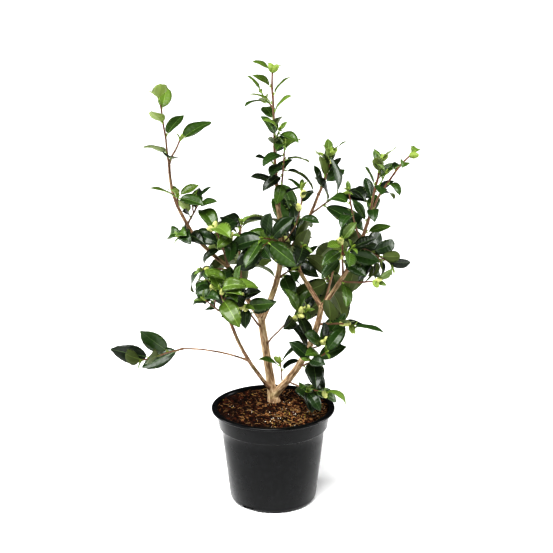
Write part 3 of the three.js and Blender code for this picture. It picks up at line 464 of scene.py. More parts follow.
def course(start, spec, order):
    """Marches a limb from `start`: its rise bends and its azimuth turns evenly on the way."""
    steps = max(3, math.floor(spec["length"] / STEP + 0.5))
    dice = Dice(order)
    limb = dict(spec, steps=steps, points=[start], azimuths=[], rises=[])
    for k in range(steps):
        share = (k + 0.5) / steps
        azimuth = spec["azimuth"] + spec["turn"] * share + dice.swing(spec["wander"])
        rise = spec["rise"] + spec["bend"] * share + dice.swing(spec["wander"])
        limb["points"].append(limb["points"][k] + heading(azimuth, rise) * spec["length"] / steps)
        limb["azimuths"].append(azimuth)
        limb["rises"].append(rise)
    return limb


def radius_at(limb, share):
    """A limb's radius at a share of its length."""
    return limb["foot"] + (limb["tip"] - limb["foot"]) * share


def along(limb, share):
    """Place, azimuth, rise and radius at a share of a limb's length."""
    reached = min(max(share, 0), 1) * limb["steps"]
    k = min(int(reached), limb["steps"] - 1)
    before, after = limb["points"][k], limb["points"][k + 1]
    point = before + (after - before) * (reached - k)
    return point, limb["azimuths"][k], limb["rises"][k], radius_at(limb, share)


def lay(spec, mass=None):
    if "on" in spec:
        start = along(limbs[spec["on"]], spec["at"])[0]
    else:
        start = np.array([*TRUNK_FOOT, SOIL], dtype=float)
    limbs[spec["name"]] = dict(course(start, spec, len(limbs) + 1), mass=mass)


for limb_spec in LIMBS:
    lay(limb_spec)
for shoot_spec in SHOOTS:
    lay(shoot_spec, shoot_spec["name"])
print("highest course point:", round(max(p[2] for l in limbs.values() for p in l["points"])), "mm")

# %% [markdown]
# A leaf is a blade on a frame of three directions: forward, out of its face, and sideways. The
# blade curls down along a circle, folds up about the midrib, and twists a little on the way. One
# function gives points of any leaf, first for a few samples that test its room, and later for
# the fine mesh.

# %% The blade
leaves, buds = [], []


def outline(shares):
    """Half width of a blade from foot to tip, as a share of its greatest half width."""
    return np.sin(math.pi * np.clip(shares, 0, 1) ** LEAF["widest"]) ** LEAF["fullness"]


def blade_points(leaf, shares, halves):
    """Points of a blade and its normals there, `halves` millimetres to one side of the midrib."""
    curl, length = math.radians(leaf["curl"]), leaf["length"]
    angle = (curl * shares)[:, None]
    reach, fall = length * np.sin(angle) / curl, length * (1 - np.cos(angle)) / curl
    upright = leaf["normal"] * np.cos(angle) + leaf["heading"] * np.sin(angle)
    twist = (math.radians(leaf["twist"]) * shares)[:, None]
    side = leaf["side"] * np.cos(twist) + upright * np.sin(twist)
    normal = upright * np.cos(twist) - leaf["side"] * np.sin(twist)
    fold, half = math.radians(leaf["fold"]), halves[:, None]
    points = (
        leaf["base"] + leaf["heading"] * reach - leaf["normal"] * fall
        + side * half * math.cos(fold) + normal * np.abs(half) * math.sin(fold))
    return points, normal


SAMPLE_SHARES = np.repeat(np.arange(SAMPLES_ALONG + 1) / SAMPLES_ALONG, 2 * SAMPLES_ACROSS + 1)
SAMPLE_SIDES = np.tile(
    np.arange(-SAMPLES_ACROSS, SAMPLES_ACROSS + 1) / SAMPLES_ACROSS, SAMPLES_ALONG + 1)


def add_samples(leaf):
    halves = leaf["width"] / 2 * outline(SAMPLE_SHARES) * SAMPLE_SIDES
    leaf["samples"] = blade_points(leaf, SAMPLE_SHARES, halves)[0]
    leaf["middle"] = leaf["samples"][len(SAMPLE_SHARES) // 2]

# %% [markdown]
# Room to grow. A leaf that would leave its shoot's space, or come too near the pot, a limb, a bud
# or another leaf, is turned aside a few times and then left out, which is also what crowding does
# to a real plant.

# %% Clearance


def stretch_distances(points, start, end):
    """Distance of each point from a straight stretch."""
    line = end - start
    shares = np.clip((points - start) @ line / (line @ line), 0, 1)
    return np.linalg.norm(points - (start + shares[:, None] * line), axis=1)


def limb_distances(points, limb):
    """Distance of each point from a limb's axis."""
    stretches = zip(limb["points"], limb["points"][1:])
    return np.min([stretch_distances(points, a, b) for a, b in stretches], axis=0)


def clouds_meet(one, other, least):
    return np.linalg.norm(one[:, None] - other[None], axis=2).min() < least


def limb_is_clear(leaf, limb, far):
    """True where a leaf keeps off one limb, or off its own stem outside its foot."""
    own = limb["mass"] == leaf["mass"]
    tested = far if own else leaf["samples"]
    step = limb["length"] / limb["steps"]
    for k in range(limb["steps"]):
        start, end = limb["points"][k], limb["points"][k + 1]
        away = np.linalg.norm((start + end) / 2 - leaf["middle"])
        if away > leaf["length"] * NEAR_ENOUGH["limb"] + step:
            continue
        room = CLEARANCE["own_limb" if own else "limb"]
        least = radius_at(limb, k / limb["steps"]) + room
        if stretch_distances(tested, start, end).min() < least:
            return False
    return True


def leaf_meets(leaf, other, far):
    away = np.linalg.norm(other["middle"] - leaf["middle"])
    if away > (other["length"] + leaf["length"]) * NEAR_ENOUGH["leaf"]:
        return False
    if other["mass"] == leaf["mass"]:
        return clouds_meet(far, other["samples"][SAMPLES_NEAR:], CLEARANCE["own_leaf"])
    return clouds_meet(leaf["samples"], other["samples"], CLEARANCE["leaf"])


def bud_meets(leaf, bud, far):
    points = far if bud["mass"] == leaf["mass"] else leaf["samples"]
    gaps = np.linalg.norm(points - bud["middle"], axis=1)
    return gaps.min() < bud["length"] / 2 + CLEARANCE["bud"]


def leaf_is_clear(leaf):
    """True where a leaf keeps to its shoot's space and touches no pot, limb, leaf or bud."""
    samples = leaf["samples"]
    far = samples[SAMPLES_NEAR:]
    over_pot = np.hypot(samples[:, 0], samples[:, 1]) < POT_KEEP_OUT["radius"]
    if (over_pot & (samples[:, 2] < POT_KEEP_OUT["height"])).any():
        return False
    if limb_distances(samples, limbs[leaf["mass"]]).max() > leaf["reach"]:
        return False
    if not all(limb_is_clear(leaf, limb, far) for limb in limbs.values()):
        return False
    if any(leaf_meets(leaf, other, far) for other in leaves):
        return False
    return not any(bud_meets(leaf, bud, far) for bud in buds)

# %% [markdown]
# Setting one leaf. Its foot points outward and onward from the twig, its face turns up to the sky
# and a little to the bright side, and the dice give each leaf its own size, curl and roll.

# %% Setting leaves


def add_leaf(shoot, twig, share, angle, length, spread, droop, dice):
    """Sets one leaf on a twig, turned aside until it is clear, or leaves it out."""
    point, azimuth, rise, radius = along(twig, share)
    onward = heading(azimuth, rise)
    for attempt, aside in enumerate(LEAF["tries"]):
        outward = around(azimuth, rise, angle + dice.swing(VARIETY["angle"]) + aside)
        lean = math.radians(spread + dice.swing(VARIETY["spread"]))
        fall = math.tan(math.radians(droop + dice.swing(VARIETY["droop"])))
        forward = unit(onward * math.cos(lean) + outward * math.sin(lean) - UP * fall)
        inward = onward * math.sin(lean) - outward * math.cos(lean)
        facing = inward * (1 - shoot["up"]) + UP * shoot["up"] + BRIGHT_SIDE * LEAF["bright_side"]
        facing = unit(facing - forward * (facing @ forward))
        sideways = np.cross(facing, forward)
        roll = math.radians(dice.swing(VARIETY["roll"]))
        size = length * (1 + dice.swing(VARIETY["size"])) * (1 - LEAF["try_shrink"] * attempt)
        foot = radius + LEAF["petiole"] + size * LEAF["petiole_share"]
        leaf = dict(
            mass=shoot["name"], twig=twig["name"], share=share, tone=shoot["tone"], root=point,
            base=point + forward * foot, heading=forward, length=size,
            normal=facing * math.cos(roll) - sideways * math.sin(roll),
            side=sideways * math.cos(roll) + facing * math.sin(roll),
            width=size * (LEAF["width"] + dice.swing(VARIETY["width"])),
            curl=max(LEAF["least_curl"], shoot["curl"] + dice.swing(VARIETY["curl"])),
            fold=LEAF["fold"] + dice.swing(VARIETY["fold"]),
            twist=dice.swing(VARIETY["twist"]),
            reach=shoot["leaf"] * LEAF["reach"])
        add_samples(leaf)
        if leaf_is_clear(leaf):
            leaves.append(leaf)
            return


def dress(shoot, twig, count, bare, phase, length, dice):
    """Leaves up one twig, each turned on from the last, smaller and closer towards the tip."""
    for k in range(count):
        share = k / (count - 1) if count > 1 else 1
        place = bare + (TOWARDS_TIP["last"] - bare) * share ** TOWARDS_TIP["crowding"]
        add_leaf(
            shoot, twig, place, phase + shoot["divergence"] * k,
            length * (1 + TOWARDS_TIP["size"] * share),
            shoot["spread"] * (1 + TOWARDS_TIP["spread"] * share),
            shoot["droop"] * (1 + TOWARDS_TIP["droop"] * share), dice)

# %% [markdown]
# A shoot grows in one order: side twigs, then buds at the tips, then leaves. A side twig that
# would meet a leaf or a limb is left out. The first bud of a stem is its slim leaf bud, and the
# plump ones beside it are next spring's flowers.

# %% Twigs, buds and the whole shoot


def add_twig(shoot, number, dice):
    """A side twig, left out where it would meet a leaf or a limb."""
    stem = limbs[shoot["name"]]
    fork = TWIG["first"] + (TWIG["last"] - TWIG["first"]) * (number + 0.5) / shoot["twigs"]
    point, azimuth, rise, radius = along(stem, fork)
    turn = shoot["phase"] + TWIG["phase"] + TWIG["golden"] * number + dice.swing(TWIG["turn"])
    lean = math.radians(TWIG["spread"] + dice.swing(TWIG["lean"]))
    onward = unit(
        heading(azimuth, rise) * math.cos(lean) + around(azimuth, rise, turn) * math.sin(lean))
    length = min(max(stem["length"] * TWIG["share"], TWIG["least"]), TWIG["most"])
    spec = dict(
        name=f"{shoot['name']}_twig_{number + 1}", on=shoot["name"],
        azimuth=math.degrees(math.atan2(onward[1], onward[0])),
        rise=math.degrees(math.asin(onward[2])),
        length=length * (1 + dice.swing(TWIG["variety"])),
        bend=TWIG["bend"], turn=0, wander=TWIG["wander"],
        foot=max(radius * TWIG["foot"], TWIG["least_foot"]), tip=TWIG["tip"])
    twig = dict(course(point, spec, shoot["seed"] * 10 + number), mass=shoot["name"])
    points = np.array(twig["points"][1:])
    if any(clouds_meet(leaf["samples"], points, CLEARANCE["twig"]) for leaf in leaves):
        return None
    for limb in limbs.values():
        least = max(limb["foot"], 1) + CLEARANCE["limb"]
        if limb is not stem and limb_distances(points, limb).min() < least:
            return None
    limbs[twig["name"]] = twig
    return twig


def add_bud(shoot, twig, number):
    """A bud at a twig's tip: number 0 is a slim leaf bud, and the others are flower buds."""
    point, azimuth, rise, _ = along(twig, 1)
    kind = "flower" if number else "leaf"
    length = BUD[kind]
    direction = heading(azimuth, rise)
    if number:
        aside = around(azimuth, rise, BUD["first_turn"] + BUD["turn"] * number)
        direction = unit(direction + aside)
    middle = point + direction * (length / 2 - BUD["sunk"])
    for leaf in leaves:
        gap = length / 2 + CLEARANCE["bud"]
        if leaf["mass"] != shoot["name"] and clouds_meet(leaf["samples"], middle[None], gap):
            return
    for limb in limbs.values():
        gap = limb["foot"] + length / 2
        if limb["mass"] != shoot["name"] and limb_distances(middle[None], limb).min() < gap:
            return
    buds.append(dict(
        mass=shoot["name"], kind=kind, foot=point, middle=middle, direction=direction,
        length=length))


def grow(shoot):
    dice = Dice(100 + shoot["seed"])
    stem = limbs[shoot["name"]]
    twigs = [add_twig(shoot, number, dice) for number in range(shoot["twigs"])]
    twigs = [twig for twig in twigs if twig]
    for number in range(shoot["buds"]):
        add_bud(shoot, stem, number)
    for twig in twigs:
        add_bud(shoot, twig, 0)
    dress(shoot, stem, shoot["leaves"], shoot["bare"], shoot["phase"], shoot["leaf"], dice)
    for number, twig in enumerate(twigs):
        dress(
            shoot, twig, TWIG["leaves"], TWIG["bare"], shoot["phase"] + TWIG["phase"] * number,
            shoot["leaf"] * TWIG["leaf"], dice)


for shoot_spec in SHOOTS:
    grow(shoot_spec)
print("grown:", len(limbs), "limbs and twigs,", len(leaves), "leaves,", len(buds), "buds")

# %% [markdown]
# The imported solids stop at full-grown leaves, and the real shoot goes on a little: beside each
# leaf bud stand up to three small, bright leaves that have only just unfolded. They are grown
# here by the same frame of directions, and left out where another leaf is too near.

# %% The newest leaves
NEWEST = dict(
    most=3, turn=137.5, length=(12, 21), width=0.44, lean=0.7, curl=(10, 45), fold=24, twist=10,
    foot=1.2, room=1.6, near=25)
newest_leaves = []


def new_leaf_is_clear(leaf):
    """True where a small leaf touches no leaf of any shoot."""
    far = leaf["samples"][SAMPLES_NEAR:]
    others = [
        other for other in leaves + newest_leaves
        if np.linalg.norm(other["middle"] - leaf["middle"]) < NEWEST["near"] + other["length"] / 2]
    return not any(clouds_meet(far, other["samples"], NEWEST["room"]) for other in others)


def unfold_newest(bud, dice):
    """Small leaves round one leaf bud, each turned on from the last."""
    onward = bud["direction"]
    first = unit(np.cross(onward, BRIGHT_SIDE + UP * 0.1))
    second = np.cross(onward, first)
    start = dice.roll() * 360
    for k in range(NEWEST["most"]):
        turn = math.radians(start + NEWEST["turn"] * k)
        outward = first * math.cos(turn) + second * math.sin(turn)
        forward = unit(onward + outward * NEWEST["lean"])
        facing = unit(onward * NEWEST["lean"] - outward)
        length = dice.between(*NEWEST["length"])
        leaf = dict(
            mass=bud["mass"], twig=None, share=1, root=bud["foot"], age="young", length=length,
            base=bud["foot"] + forward * NEWEST["foot"], heading=forward, normal=facing,
            side=np.cross(facing, forward), width=length * NEWEST["width"],
            curl=dice.between(*NEWEST["curl"]), fold=NEWEST["fold"], twist=dice.swing(NEWEST["twist"]))
        add_samples(leaf)
        if new_leaf_is_clear(leaf):
            newest_leaves.append(leaf)


newest_dice = Dice(5)
for tip_bud in buds:
    if tip_bud["kind"] == "leaf":
        unfold_newest(tip_bud, newest_dice)
print("newest leaves:", len(newest_leaves))

# %% [markdown]
# ## From courses to meshes
# All small things of the plant are joined meshes from arrays, because hundreds of leaves as
# separate objects would be slow to draw and to export. A tube is the commonest shape: a row of
# rings along a smooth curve. The curve runs through the course's points, and each ring is turned
# as little as it can be from the last, so that the tube has no twist.

# %% Joined meshes


class Sheaf:
    """Many shapes that end up as one mesh, with a material number for each face."""

    def __init__(self):
        self.points, self.faces, self.slots, self.notes, self.count = [], [], [], [], 0

    def add(self, points, faces, slot=0, notes=None):
        """Adds a shape. `slot` is one number or one for each face; `notes` go to each point."""
        self.points.append(np.asarray(points))
        self.faces.extend(tuple(i + self.count for i in face) for face in faces)
        self.slots.extend(slot if isinstance(slot, list) else [slot] * len(faces))
        self.notes.append(np.zeros((len(points), 3)) if notes is None else notes)
        self.count += len(points)

    def piece(self, name, materials, note_name=None):
        """The joined mesh as a smooth object at the origin, in metres."""
        mesh = bpy.data.meshes.new(name)
        mesh.from_pydata((np.concatenate(self.points) * MM).tolist(), [], self.faces)
        for material in materials:
            mesh.materials.append(material)
        mesh.polygons.foreach_set("material_index", self.slots)
        mesh.polygons.foreach_set("use_smooth", [True] * len(self.faces))
        if note_name:
            attribute = mesh.attributes.new(note_name, "FLOAT_VECTOR", "POINT")
            attribute.data.foreach_set("vector", np.concatenate(self.notes).ravel())
        mesh.update()
        made = bpy.data.objects.new(name, mesh)
        bpy.context.scene.collection.objects.link(made)
        return made


def triangles(piece):
    """How many triangles a finished piece has."""
    return sum(len(face.vertices) - 2 for face in piece.data.polygons)


def smooth_curve(points, spacing):
    """Points about `spacing` apart on a smooth curve through `points`, with each one's share."""
    points = [np.asarray(point, dtype=float) for point in points]
    padded = [2 * points[0] - points[1], *points, 2 * points[-1] - points[-2]]
    curve, shares = [], []
    count = len(points) - 1
    for k in range(count):
        a, b, c, d = padded[k:k + 4]
        pieces = max(1, round(np.linalg.norm(c - b) / spacing))
        for t in np.arange(pieces) / pieces:
            cubic = (3 * b - a - 3 * c + d) * t ** 3
            square = (2 * a - 5 * b + 4 * c - d) * t ** 2
            curve.append((2 * b + (c - a) * t + square + cubic) / 2)
            shares.append((k + t) / count)
    return np.array([*curve, points[-1]]), np.array([*shares, 1.0])


def frames_along(points):
    """Two unit directions square to a curve at each of its points, turned as little as can be."""
    tangents = np.gradient(points, axis=0)
    tangents /= np.linalg.norm(tangents, axis=1)[:, None]
    start = UP if abs(tangents[0][2]) < 0.9 else np.array([1.0, 0.0, 0.0])
    first, second = [], []
    for tangent in tangents:
        start = unit(start - tangent * (start @ tangent))
        first.append(start)
        second.append(np.cross(tangent, start))
    return np.array(first), np.array(second)


def tube(points, radii, sides):
    """A closed tube round a curve, as points and faces; its ends are flat."""
    first, second = frames_along(points)
    angles = np.arange(sides) * 2 * math.pi / sides
    ring = (
        first[:, None] * np.cos(angles)[None, :, None]
        + second[:, None] * np.sin(angles)[None, :, None])
    skin = points[:, None] + ring * np.asarray(radii)[:, None, None]
    faces = []
    for k in range(len(points) - 1):
        here, there = k * sides, (k + 1) * sides
        for i in range(sides):
            j = (i + 1) % sides
            faces.append((here + i, here + j, there + j, there + i))
    last = (len(points) - 1) * sides
    faces.append(tuple(range(sides))[::-1])
    faces.append(tuple(range(last, last + sides)))
    return skin.reshape(-1, 3), faces


test_curve, _ = smooth_curve(limbs["leader"]["points"], 3)
print("a tube along the leader:", len(tube(test_curve, np.ones(len(test_curve)), 8)[1]), "faces")

# %% [markdown]
# ## Wood
# Old camellia wood is smooth and tan, with fine streaks along it, and its limbs melt into each
# other at the forks. Separate tubes would meet in a hard crease, so they are joined, remeshed
# together as one skin, and smoothed, which rounds each fork out by itself. The relief is then
# pushed into that skin in code: long low ridges and a finer grain that follow each limb.

# %% Wood: one skin
WOOD = dict(
    sides=18, spacing=2.5, voxel=0.75, collar=0.35, collar_length=6, buried=5, flare=3.4,
    flare_height=11, ridge=0.34, ridge_width=2.6, ridge_length=16, grain=0.16, grain_width=0.9,
    grain_length=7, limb_offset=400, youngest_radius=1.3, age_range=5.9, full_relief=5,
    least_relief=0.3)


def select_only(piece):
    bpy.ops.object.select_all(action="DESELECT")
    piece.select_set(True)
    bpy.context.view_layer.objects.active = piece


def apply_modifier(piece, kind, **settings):
    """Adds a modifier with its settings and applies it."""
    select_only(piece)
    bpy.ops.object.modifier_add(type=kind)
    modifier = piece.modifiers[-1]
    for name, value in settings.items():
        setattr(modifier, name, value)
    bpy.ops.object.modifier_apply(modifier=modifier.name)


def limb_radii(limb, shares, collar, collar_length):
    """A limb's radii, with the collar that swells where it leaves its parent."""
    return radius_at(limb, shares) * (1 + collar * np.exp(-shares * limb["length"] / collar_length))


def wood_tubes():
    """All limbs as tubes that run into each other."""
    sheaf = Sheaf()
    for spec in LIMBS:
        limb = limbs[spec["name"]]
        points, shares = smooth_curve(limb["points"], WOOD["spacing"])
        if spec.get("flare"):
            radii = limb_radii(limb, shares, 0, 1)
            radii = radii + WOOD["flare"] * np.exp(-shares * limb["length"] / WOOD["flare_height"])
            points = np.vstack([points[0] - UP * WOOD["buried"], points])
            radii = np.append(radii[0], radii)
        else:
            radii = limb_radii(limb, shares, WOOD["collar"], WOOD["collar_length"])
        sheaf.add(*tube(points, radii, WOOD["sides"]))
    return sheaf


wood = wood_tubes().piece("wood", [])
apply_modifier(wood, "REMESH", mode="VOXEL", voxel_size=WOOD["voxel"] * MM, use_smooth_shade=True)
apply_modifier(wood, "SMOOTH", factor=0.5, iterations=4)
print("wood:", triangles(wood), "triangles")

# %% [markdown]
# The relief needs to know, for each point of the skin, how far up which limb it lies. The nearest
# stretch of wood tells that. The streak and the age of the wood are stored on the mesh in one
# attribute, so that the bark's colour can follow them.

# %% Wood: relief


def nearest_wood(points):
    """Way along in mm, axis point and age of the wood that is nearest to each point."""
    best = np.full(len(points), np.inf)
    way, age = np.zeros(len(points)), np.zeros(len(points))
    axis = np.zeros_like(points)
    for order, spec in enumerate(LIMBS):
        limb = limbs[spec["name"]]
        curve, shares = smooth_curve(limb["points"], WOOD["spacing"] * 2)
        for a, b, share in zip(curve, curve[1:], shares):
            line = b - a
            t = np.clip((points - a) @ line / (line @ line), 0, 1)
            on_axis = a + t[:, None] * line
            radius = radius_at(limb, share)
            distance = np.linalg.norm(points - on_axis, axis=1) - radius
            closer = distance < best
            best[closer] = distance[closer]
            axis[closer] = on_axis[closer]
            way[closer] = share * limb["length"] + t[closer] * np.linalg.norm(line)
            way[closer] += WOOD["limb_offset"] * order
            age[closer] = 1 - (radius - WOOD["youngest_radius"]) / WOOD["age_range"]
    return way, axis, age


def pattern(points, axis, way, width, length):
    """Noise drawn out along a limb: `width` across the grain and `length` along it."""
    outward = (points - axis) / width
    return np.array([
        noise.noise(Vector((*out[:2], out[2] * 0.3 + along_grain)))
        for out, along_grain in zip(outward, way / length)])


def relieve(piece):
    """Pushes ridges and grain into the wood, and stores streak and age on it."""
    mesh = piece.data
    points = np.zeros(len(mesh.vertices) * 3)
    mesh.vertices.foreach_get("co", points)
    points = points.reshape(-1, 3) / MM
    way, axis, age = nearest_wood(points)
    ridges = pattern(points, axis, way, WOOD["ridge_width"], WOOD["ridge_length"])
    grain = pattern(points, axis, way, WOOD["grain_width"], WOOD["grain_length"])
    outward = points - axis
    radius = np.linalg.norm(outward, axis=1)[:, None]
    depth = WOOD["ridge"] * ridges + WOOD["grain"] * grain
    thin = np.clip(radius[:, 0] / WOOD["full_relief"], WOOD["least_relief"], 1)
    points = points + outward / np.maximum(radius, 0.1) * (depth * thin)[:, None]
    mesh.vertices.foreach_set("co", (points * MM).ravel())
    attribute = mesh.attributes.new("bark", "FLOAT_VECTOR", "POINT")
    notes = np.stack([ridges * 0.5 + grain * 0.5 + 0.5, age, np.zeros(len(points))], axis=1)
    attribute.data.foreach_set("vector", notes.ravel())
    mesh.update()


relieve(wood)
print("wood relief done")

# %% [markdown]
# The bark's finish reads the two stored figures. Tan old wood and red-brown young wood each get
# their own run of colours along the streaks, the age mixes them, and a large soft noise adds the
# grey-green bloom of algae. Bark is matt, so it is rough all over, with a fine grain in the bump.

# %% Wood: finish


def bark_material():
    """Smooth camellia bark: tan and streaked when old, red-brown when young, matt."""
    material, tree, shader = new_material("camellia_bark", "#a98a63", 0.72, 1.45)
    bark = add_node(tree, "Attribute", attribute_name="bark").outputs["Vector"]
    parts = add_node(tree, "SeparateXYZ", {"Vector": bark})
    streak, age = parts.outputs["X"], parts.outputs["Y"]
    old = ramp(
        tree, streak, [(0.16, "#6a543e"), (0.42, "#957b5d"), (0.6, "#b0977a"), (0.84, "#cbb798")])
    young = ramp(tree, streak, [(0.2, "#4d3728"), (0.5, "#80604a"), (0.8, "#a98c70")])
    youth = add_node(
        tree, "MapRange", {"Value": age, "From Min": 0.35, "From Max": 0.85}).outputs["Result"]
    mixed = add_node(tree, "Mix", {"Factor": youth, "A": old, "B": young}, data_type="RGBA")
    bloom = add_node(
        tree, "MapRange",
        {"Value": object_noise(tree, 28), "From Min": 0.52, "From Max": 0.7, "To Max": 0.45})
    greened = add_node(
        tree, "Mix",
        {"Factor": bloom.outputs["Result"], "A": mixed.outputs["Result"], "B": linear("#8f8a5c")},
        data_type="RGBA")
    tree.links.new(greened.outputs["Result"], shader.inputs["Base Color"])
    add_bump(tree, shader, object_noise(tree, 0.8, 4.0), 0.6, 0.3)
    return material


wood.data.materials.append(bark_material())
print("bark on", wood.name)

# %% [markdown]
# ## Twigs and leaf stalks
# The shoots are too thin to remesh, and they only touch the wood at their foot, where a small
# collar hides the joint. Each swells a little at every leaf. A camellia's shoot is brown and woody
# at its foot and still red or green at its tip, which three plain barks show, dealt out by the
# stretch of shoot.

# %% Twigs
SHOOT = dict(sides=9, spacing=1.8, collar=0.45, collar_length=3, knuckle=0.32, knuckle_width=1.4)
TWIG_BARKS = [
    new_material("brown_twig_bark", "#6f5540", 0.6, 1.45)[0],
    new_material("red_twig_bark", "#6b4430", 0.5, 1.45)[0],
    new_material("green_twig_skin", "#6f8a3c", 0.42, 1.45)[0],
]
BROWN, RED, GREEN = range(3)
YOUTH = dict(share=0.8, side_twig=0.35, usual_foot=1.6, foot=0.25, mature=0.55, brown=0.35, red=0.72)
SHOOT_OF = {shoot["name"]: shoot for shoot in SHOOTS}


def twig_slot(limb, share):
    """Bark of a shoot at a share of its length: side twigs and tips are the youngest."""
    side_twig = limb["name"] != limb["mass"]
    young = share * YOUTH["share"] + (YOUTH["side_twig"] if side_twig else 0)
    young -= (limb["foot"] - YOUTH["usual_foot"]) * YOUTH["foot"]
    if SHOOT_OF[limb["mass"]]["tone"] == "mature":
        return BROWN if young < YOUTH["mature"] else RED
    if young < YOUTH["brown"]:
        return BROWN
    return RED if young < YOUTH["red"] else GREEN


def shoot_tubes():
    sheaf = Sheaf()
    for limb in limbs.values():
        if not limb["mass"]:
            continue
        points, shares = smooth_curve(limb["points"], SHOOT["spacing"])
        radii = limb_radii(limb, shares, SHOOT["collar"], SHOOT["collar_length"])
        for leaf in leaves:
            if leaf["twig"] == limb["name"]:
                away = (shares - leaf["share"]) * limb["length"] / SHOOT["knuckle_width"]
                radii = radii + SHOOT["knuckle"] * np.exp(-away ** 2)
        skin, faces = tube(points, radii, SHOOT["sides"])
        slots = [twig_slot(limb, share) for share in shares[:-1] for _ in range(SHOOT["sides"])]
        sheaf.add(skin, faces, [*slots, slots[0], slots[-1]])
    return sheaf


twigs = shoot_tubes().piece("twigs", TWIG_BARKS)
print("twigs:", triangles(twigs), "triangles")

# %% [markdown]
# ## Leaves
# A camellia's leaf is thick and leathery. Its edge has small teeth, its tip is drawn out, and its
# midrib lies in a groove above and stands out below. Each leaf is one closed thin body: ten rows
# of faces above, ten below, and an edge between them that carries the teeth. The midrib is a strip
# of its own, so that it can be pale without any picture.

# %% Leaf: one blade
BLADE = dict(
    shares=np.array([0, 0.05, 0.13, 0.24, 0.36, 0.49, 0.62, 0.74, 0.85, 0.94, 1.0]),
    columns=np.array([-1, -0.64, -0.3, 0, 0, 0.3, 0.64, 1.0]),
    thickness=0.22, midrib=0.42, groove=0.25, keel=0.4, least=0.55, tip=0.12, pinch=0.22,
    pinch_from=0.86, tooth=0.22, wave=0.9, waves=9, fullness=0.85, usual_length=50,
    midrib_taper=0.7, rib_taper=0.6)
ROWS, COLUMNS = len(BLADE["shares"]), len(BLADE["columns"])
PER_ROW = 2 * COLUMNS - 2
TOP, UNDER, MIDRIB, KEEL = range(4)


def fine_outline(leaf, shares):
    """Half widths in mm: the rule's outline, rounder, with a drawn-out tip and a stalk-wide foot."""
    past = np.clip((shares - BLADE["pinch_from"]) / (1 - BLADE["pinch_from"]), 0, 1)
    full = outline(shares) ** BLADE["fullness"]
    half = leaf["width"] / 2 * full * (1 - BLADE["pinch"] * np.sin(math.pi * past))
    least = BLADE["least"] + (BLADE["tip"] - BLADE["least"]) * shares
    return np.maximum(half, least)


def blade_mesh(leaf, phase):
    """A leaf's points: for each row the upper side from edge to edge, then the lower side."""
    scale = leaf["length"] / BLADE["usual_length"]
    shares = np.repeat(BLADE["shares"], COLUMNS)
    across = np.tile(BLADE["columns"], ROWS)
    half = fine_outline(leaf, shares) * across
    ribs = np.tile(np.array([0, 0, 0, -1, 1, 0, 0, 0]), ROWS)
    half = half + ribs * BLADE["midrib"] * scale * (1 - BLADE["midrib_taper"] * shares)
    points, normals = blade_points(leaf, shares, half)
    wave = BLADE["wave"] * scale * across ** 2 * np.sin(shares * BLADE["waves"] + phase + across)
    thick = BLADE["thickness"] * (1 - across ** 2)
    rib = np.abs(ribs) * scale * (1 - BLADE["rib_taper"] * shares)
    upper = points + normals * (wave + thick - rib * BLADE["groove"])[:, None]
    lower = points + normals * (wave - thick - rib * BLADE["keel"])[:, None]
    upper, lower = upper.reshape(ROWS, COLUMNS, 3), lower.reshape(ROWS, COLUMNS, 3)
    grid = np.concatenate([upper, lower[:, 1:-1]], axis=1).reshape(-1, 3)

    middles = (BLADE["shares"][1:] + BLADE["shares"][:-1]) / 2
    edge = fine_outline(leaf, middles) + BLADE["tooth"] * scale * np.sin(math.pi * middles) ** 0.5
    sides = np.tile([-1.0, 1.0], ROWS - 1)
    middles, edge = np.repeat(middles, 2), np.repeat(edge, 2) * sides
    teeth, tooth_normals = blade_points(leaf, middles, edge)
    rise = BLADE["wave"] * scale * np.sin(middles * BLADE["waves"] + phase + sides)
    teeth = teeth + tooth_normals * rise[:, None]
    across = across.reshape(ROWS, COLUMNS)
    across = np.concatenate([across, across[:, 1:-1]], axis=1).ravel()
    along_blade = np.repeat(BLADE["shares"], PER_ROW)
    notes = np.stack([across, along_blade, np.zeros(len(across))], axis=1)
    tooth_notes = np.stack([sides, middles, np.zeros(len(sides))], axis=1)
    return np.vstack([grid, teeth]), np.vstack([notes, tooth_notes])


def blade_faces():
    """Faces of a leaf and what each one is: top, underside, midrib or keel."""
    def upper(row, column):
        return row * PER_ROW + column

    def lower(row, column):
        at_edge = column in (0, COLUMNS - 1)
        return upper(row, column if at_edge else COLUMNS - 1 + column)

    faces, kinds = [], []
    for row in range(ROWS - 1):
        tooth = ROWS * PER_ROW + 2 * row
        for column in range(COLUMNS - 1):
            middle = column == COLUMNS // 2 - 1
            strips = ((upper, MIDRIB), (lower, KEEL)) if middle else ((upper, TOP), (lower, UNDER))
            for side, kind in strips:
                face = [
                    side(row, column), side(row + 1, column),
                    side(row + 1, column + 1), side(row, column + 1)]
                if column == 0:
                    face.insert(1, tooth)
                if column == COLUMNS - 2:
                    face.insert(3, tooth + 1)
                faces.append(face if side is upper else face[::-1])
                kinds.append(kind)
    for row, turn in ((0, 1), (ROWS - 1, -1)):
        around_end = [upper(row, c) for c in range(COLUMNS)]
        around_end += [lower(row, c) for c in range(COLUMNS - 2, 0, -1)]
        faces.append(around_end[::turn])
        kinds.append(UNDER)
    return faces, kinds


BLADE_FACES, BLADE_KINDS = blade_faces()
print("one leaf:", len(BLADE_FACES), "faces")

# %% [markdown]
# The tones. A camellia's full-grown leaf is a dark blue-green, this year's leaves are a fresh
# yellow-green, and the underside is always paler and duller. Each leaf draws one plain tone by its
# age, which is its place on the shoot, and the joined leaves are sorted by age into three pieces.
# The wax on top is a thin clear coat over a duller green. Only the bump of the side veins runs
# over the blade, and it reads how far along and across each point of the leaf lies.

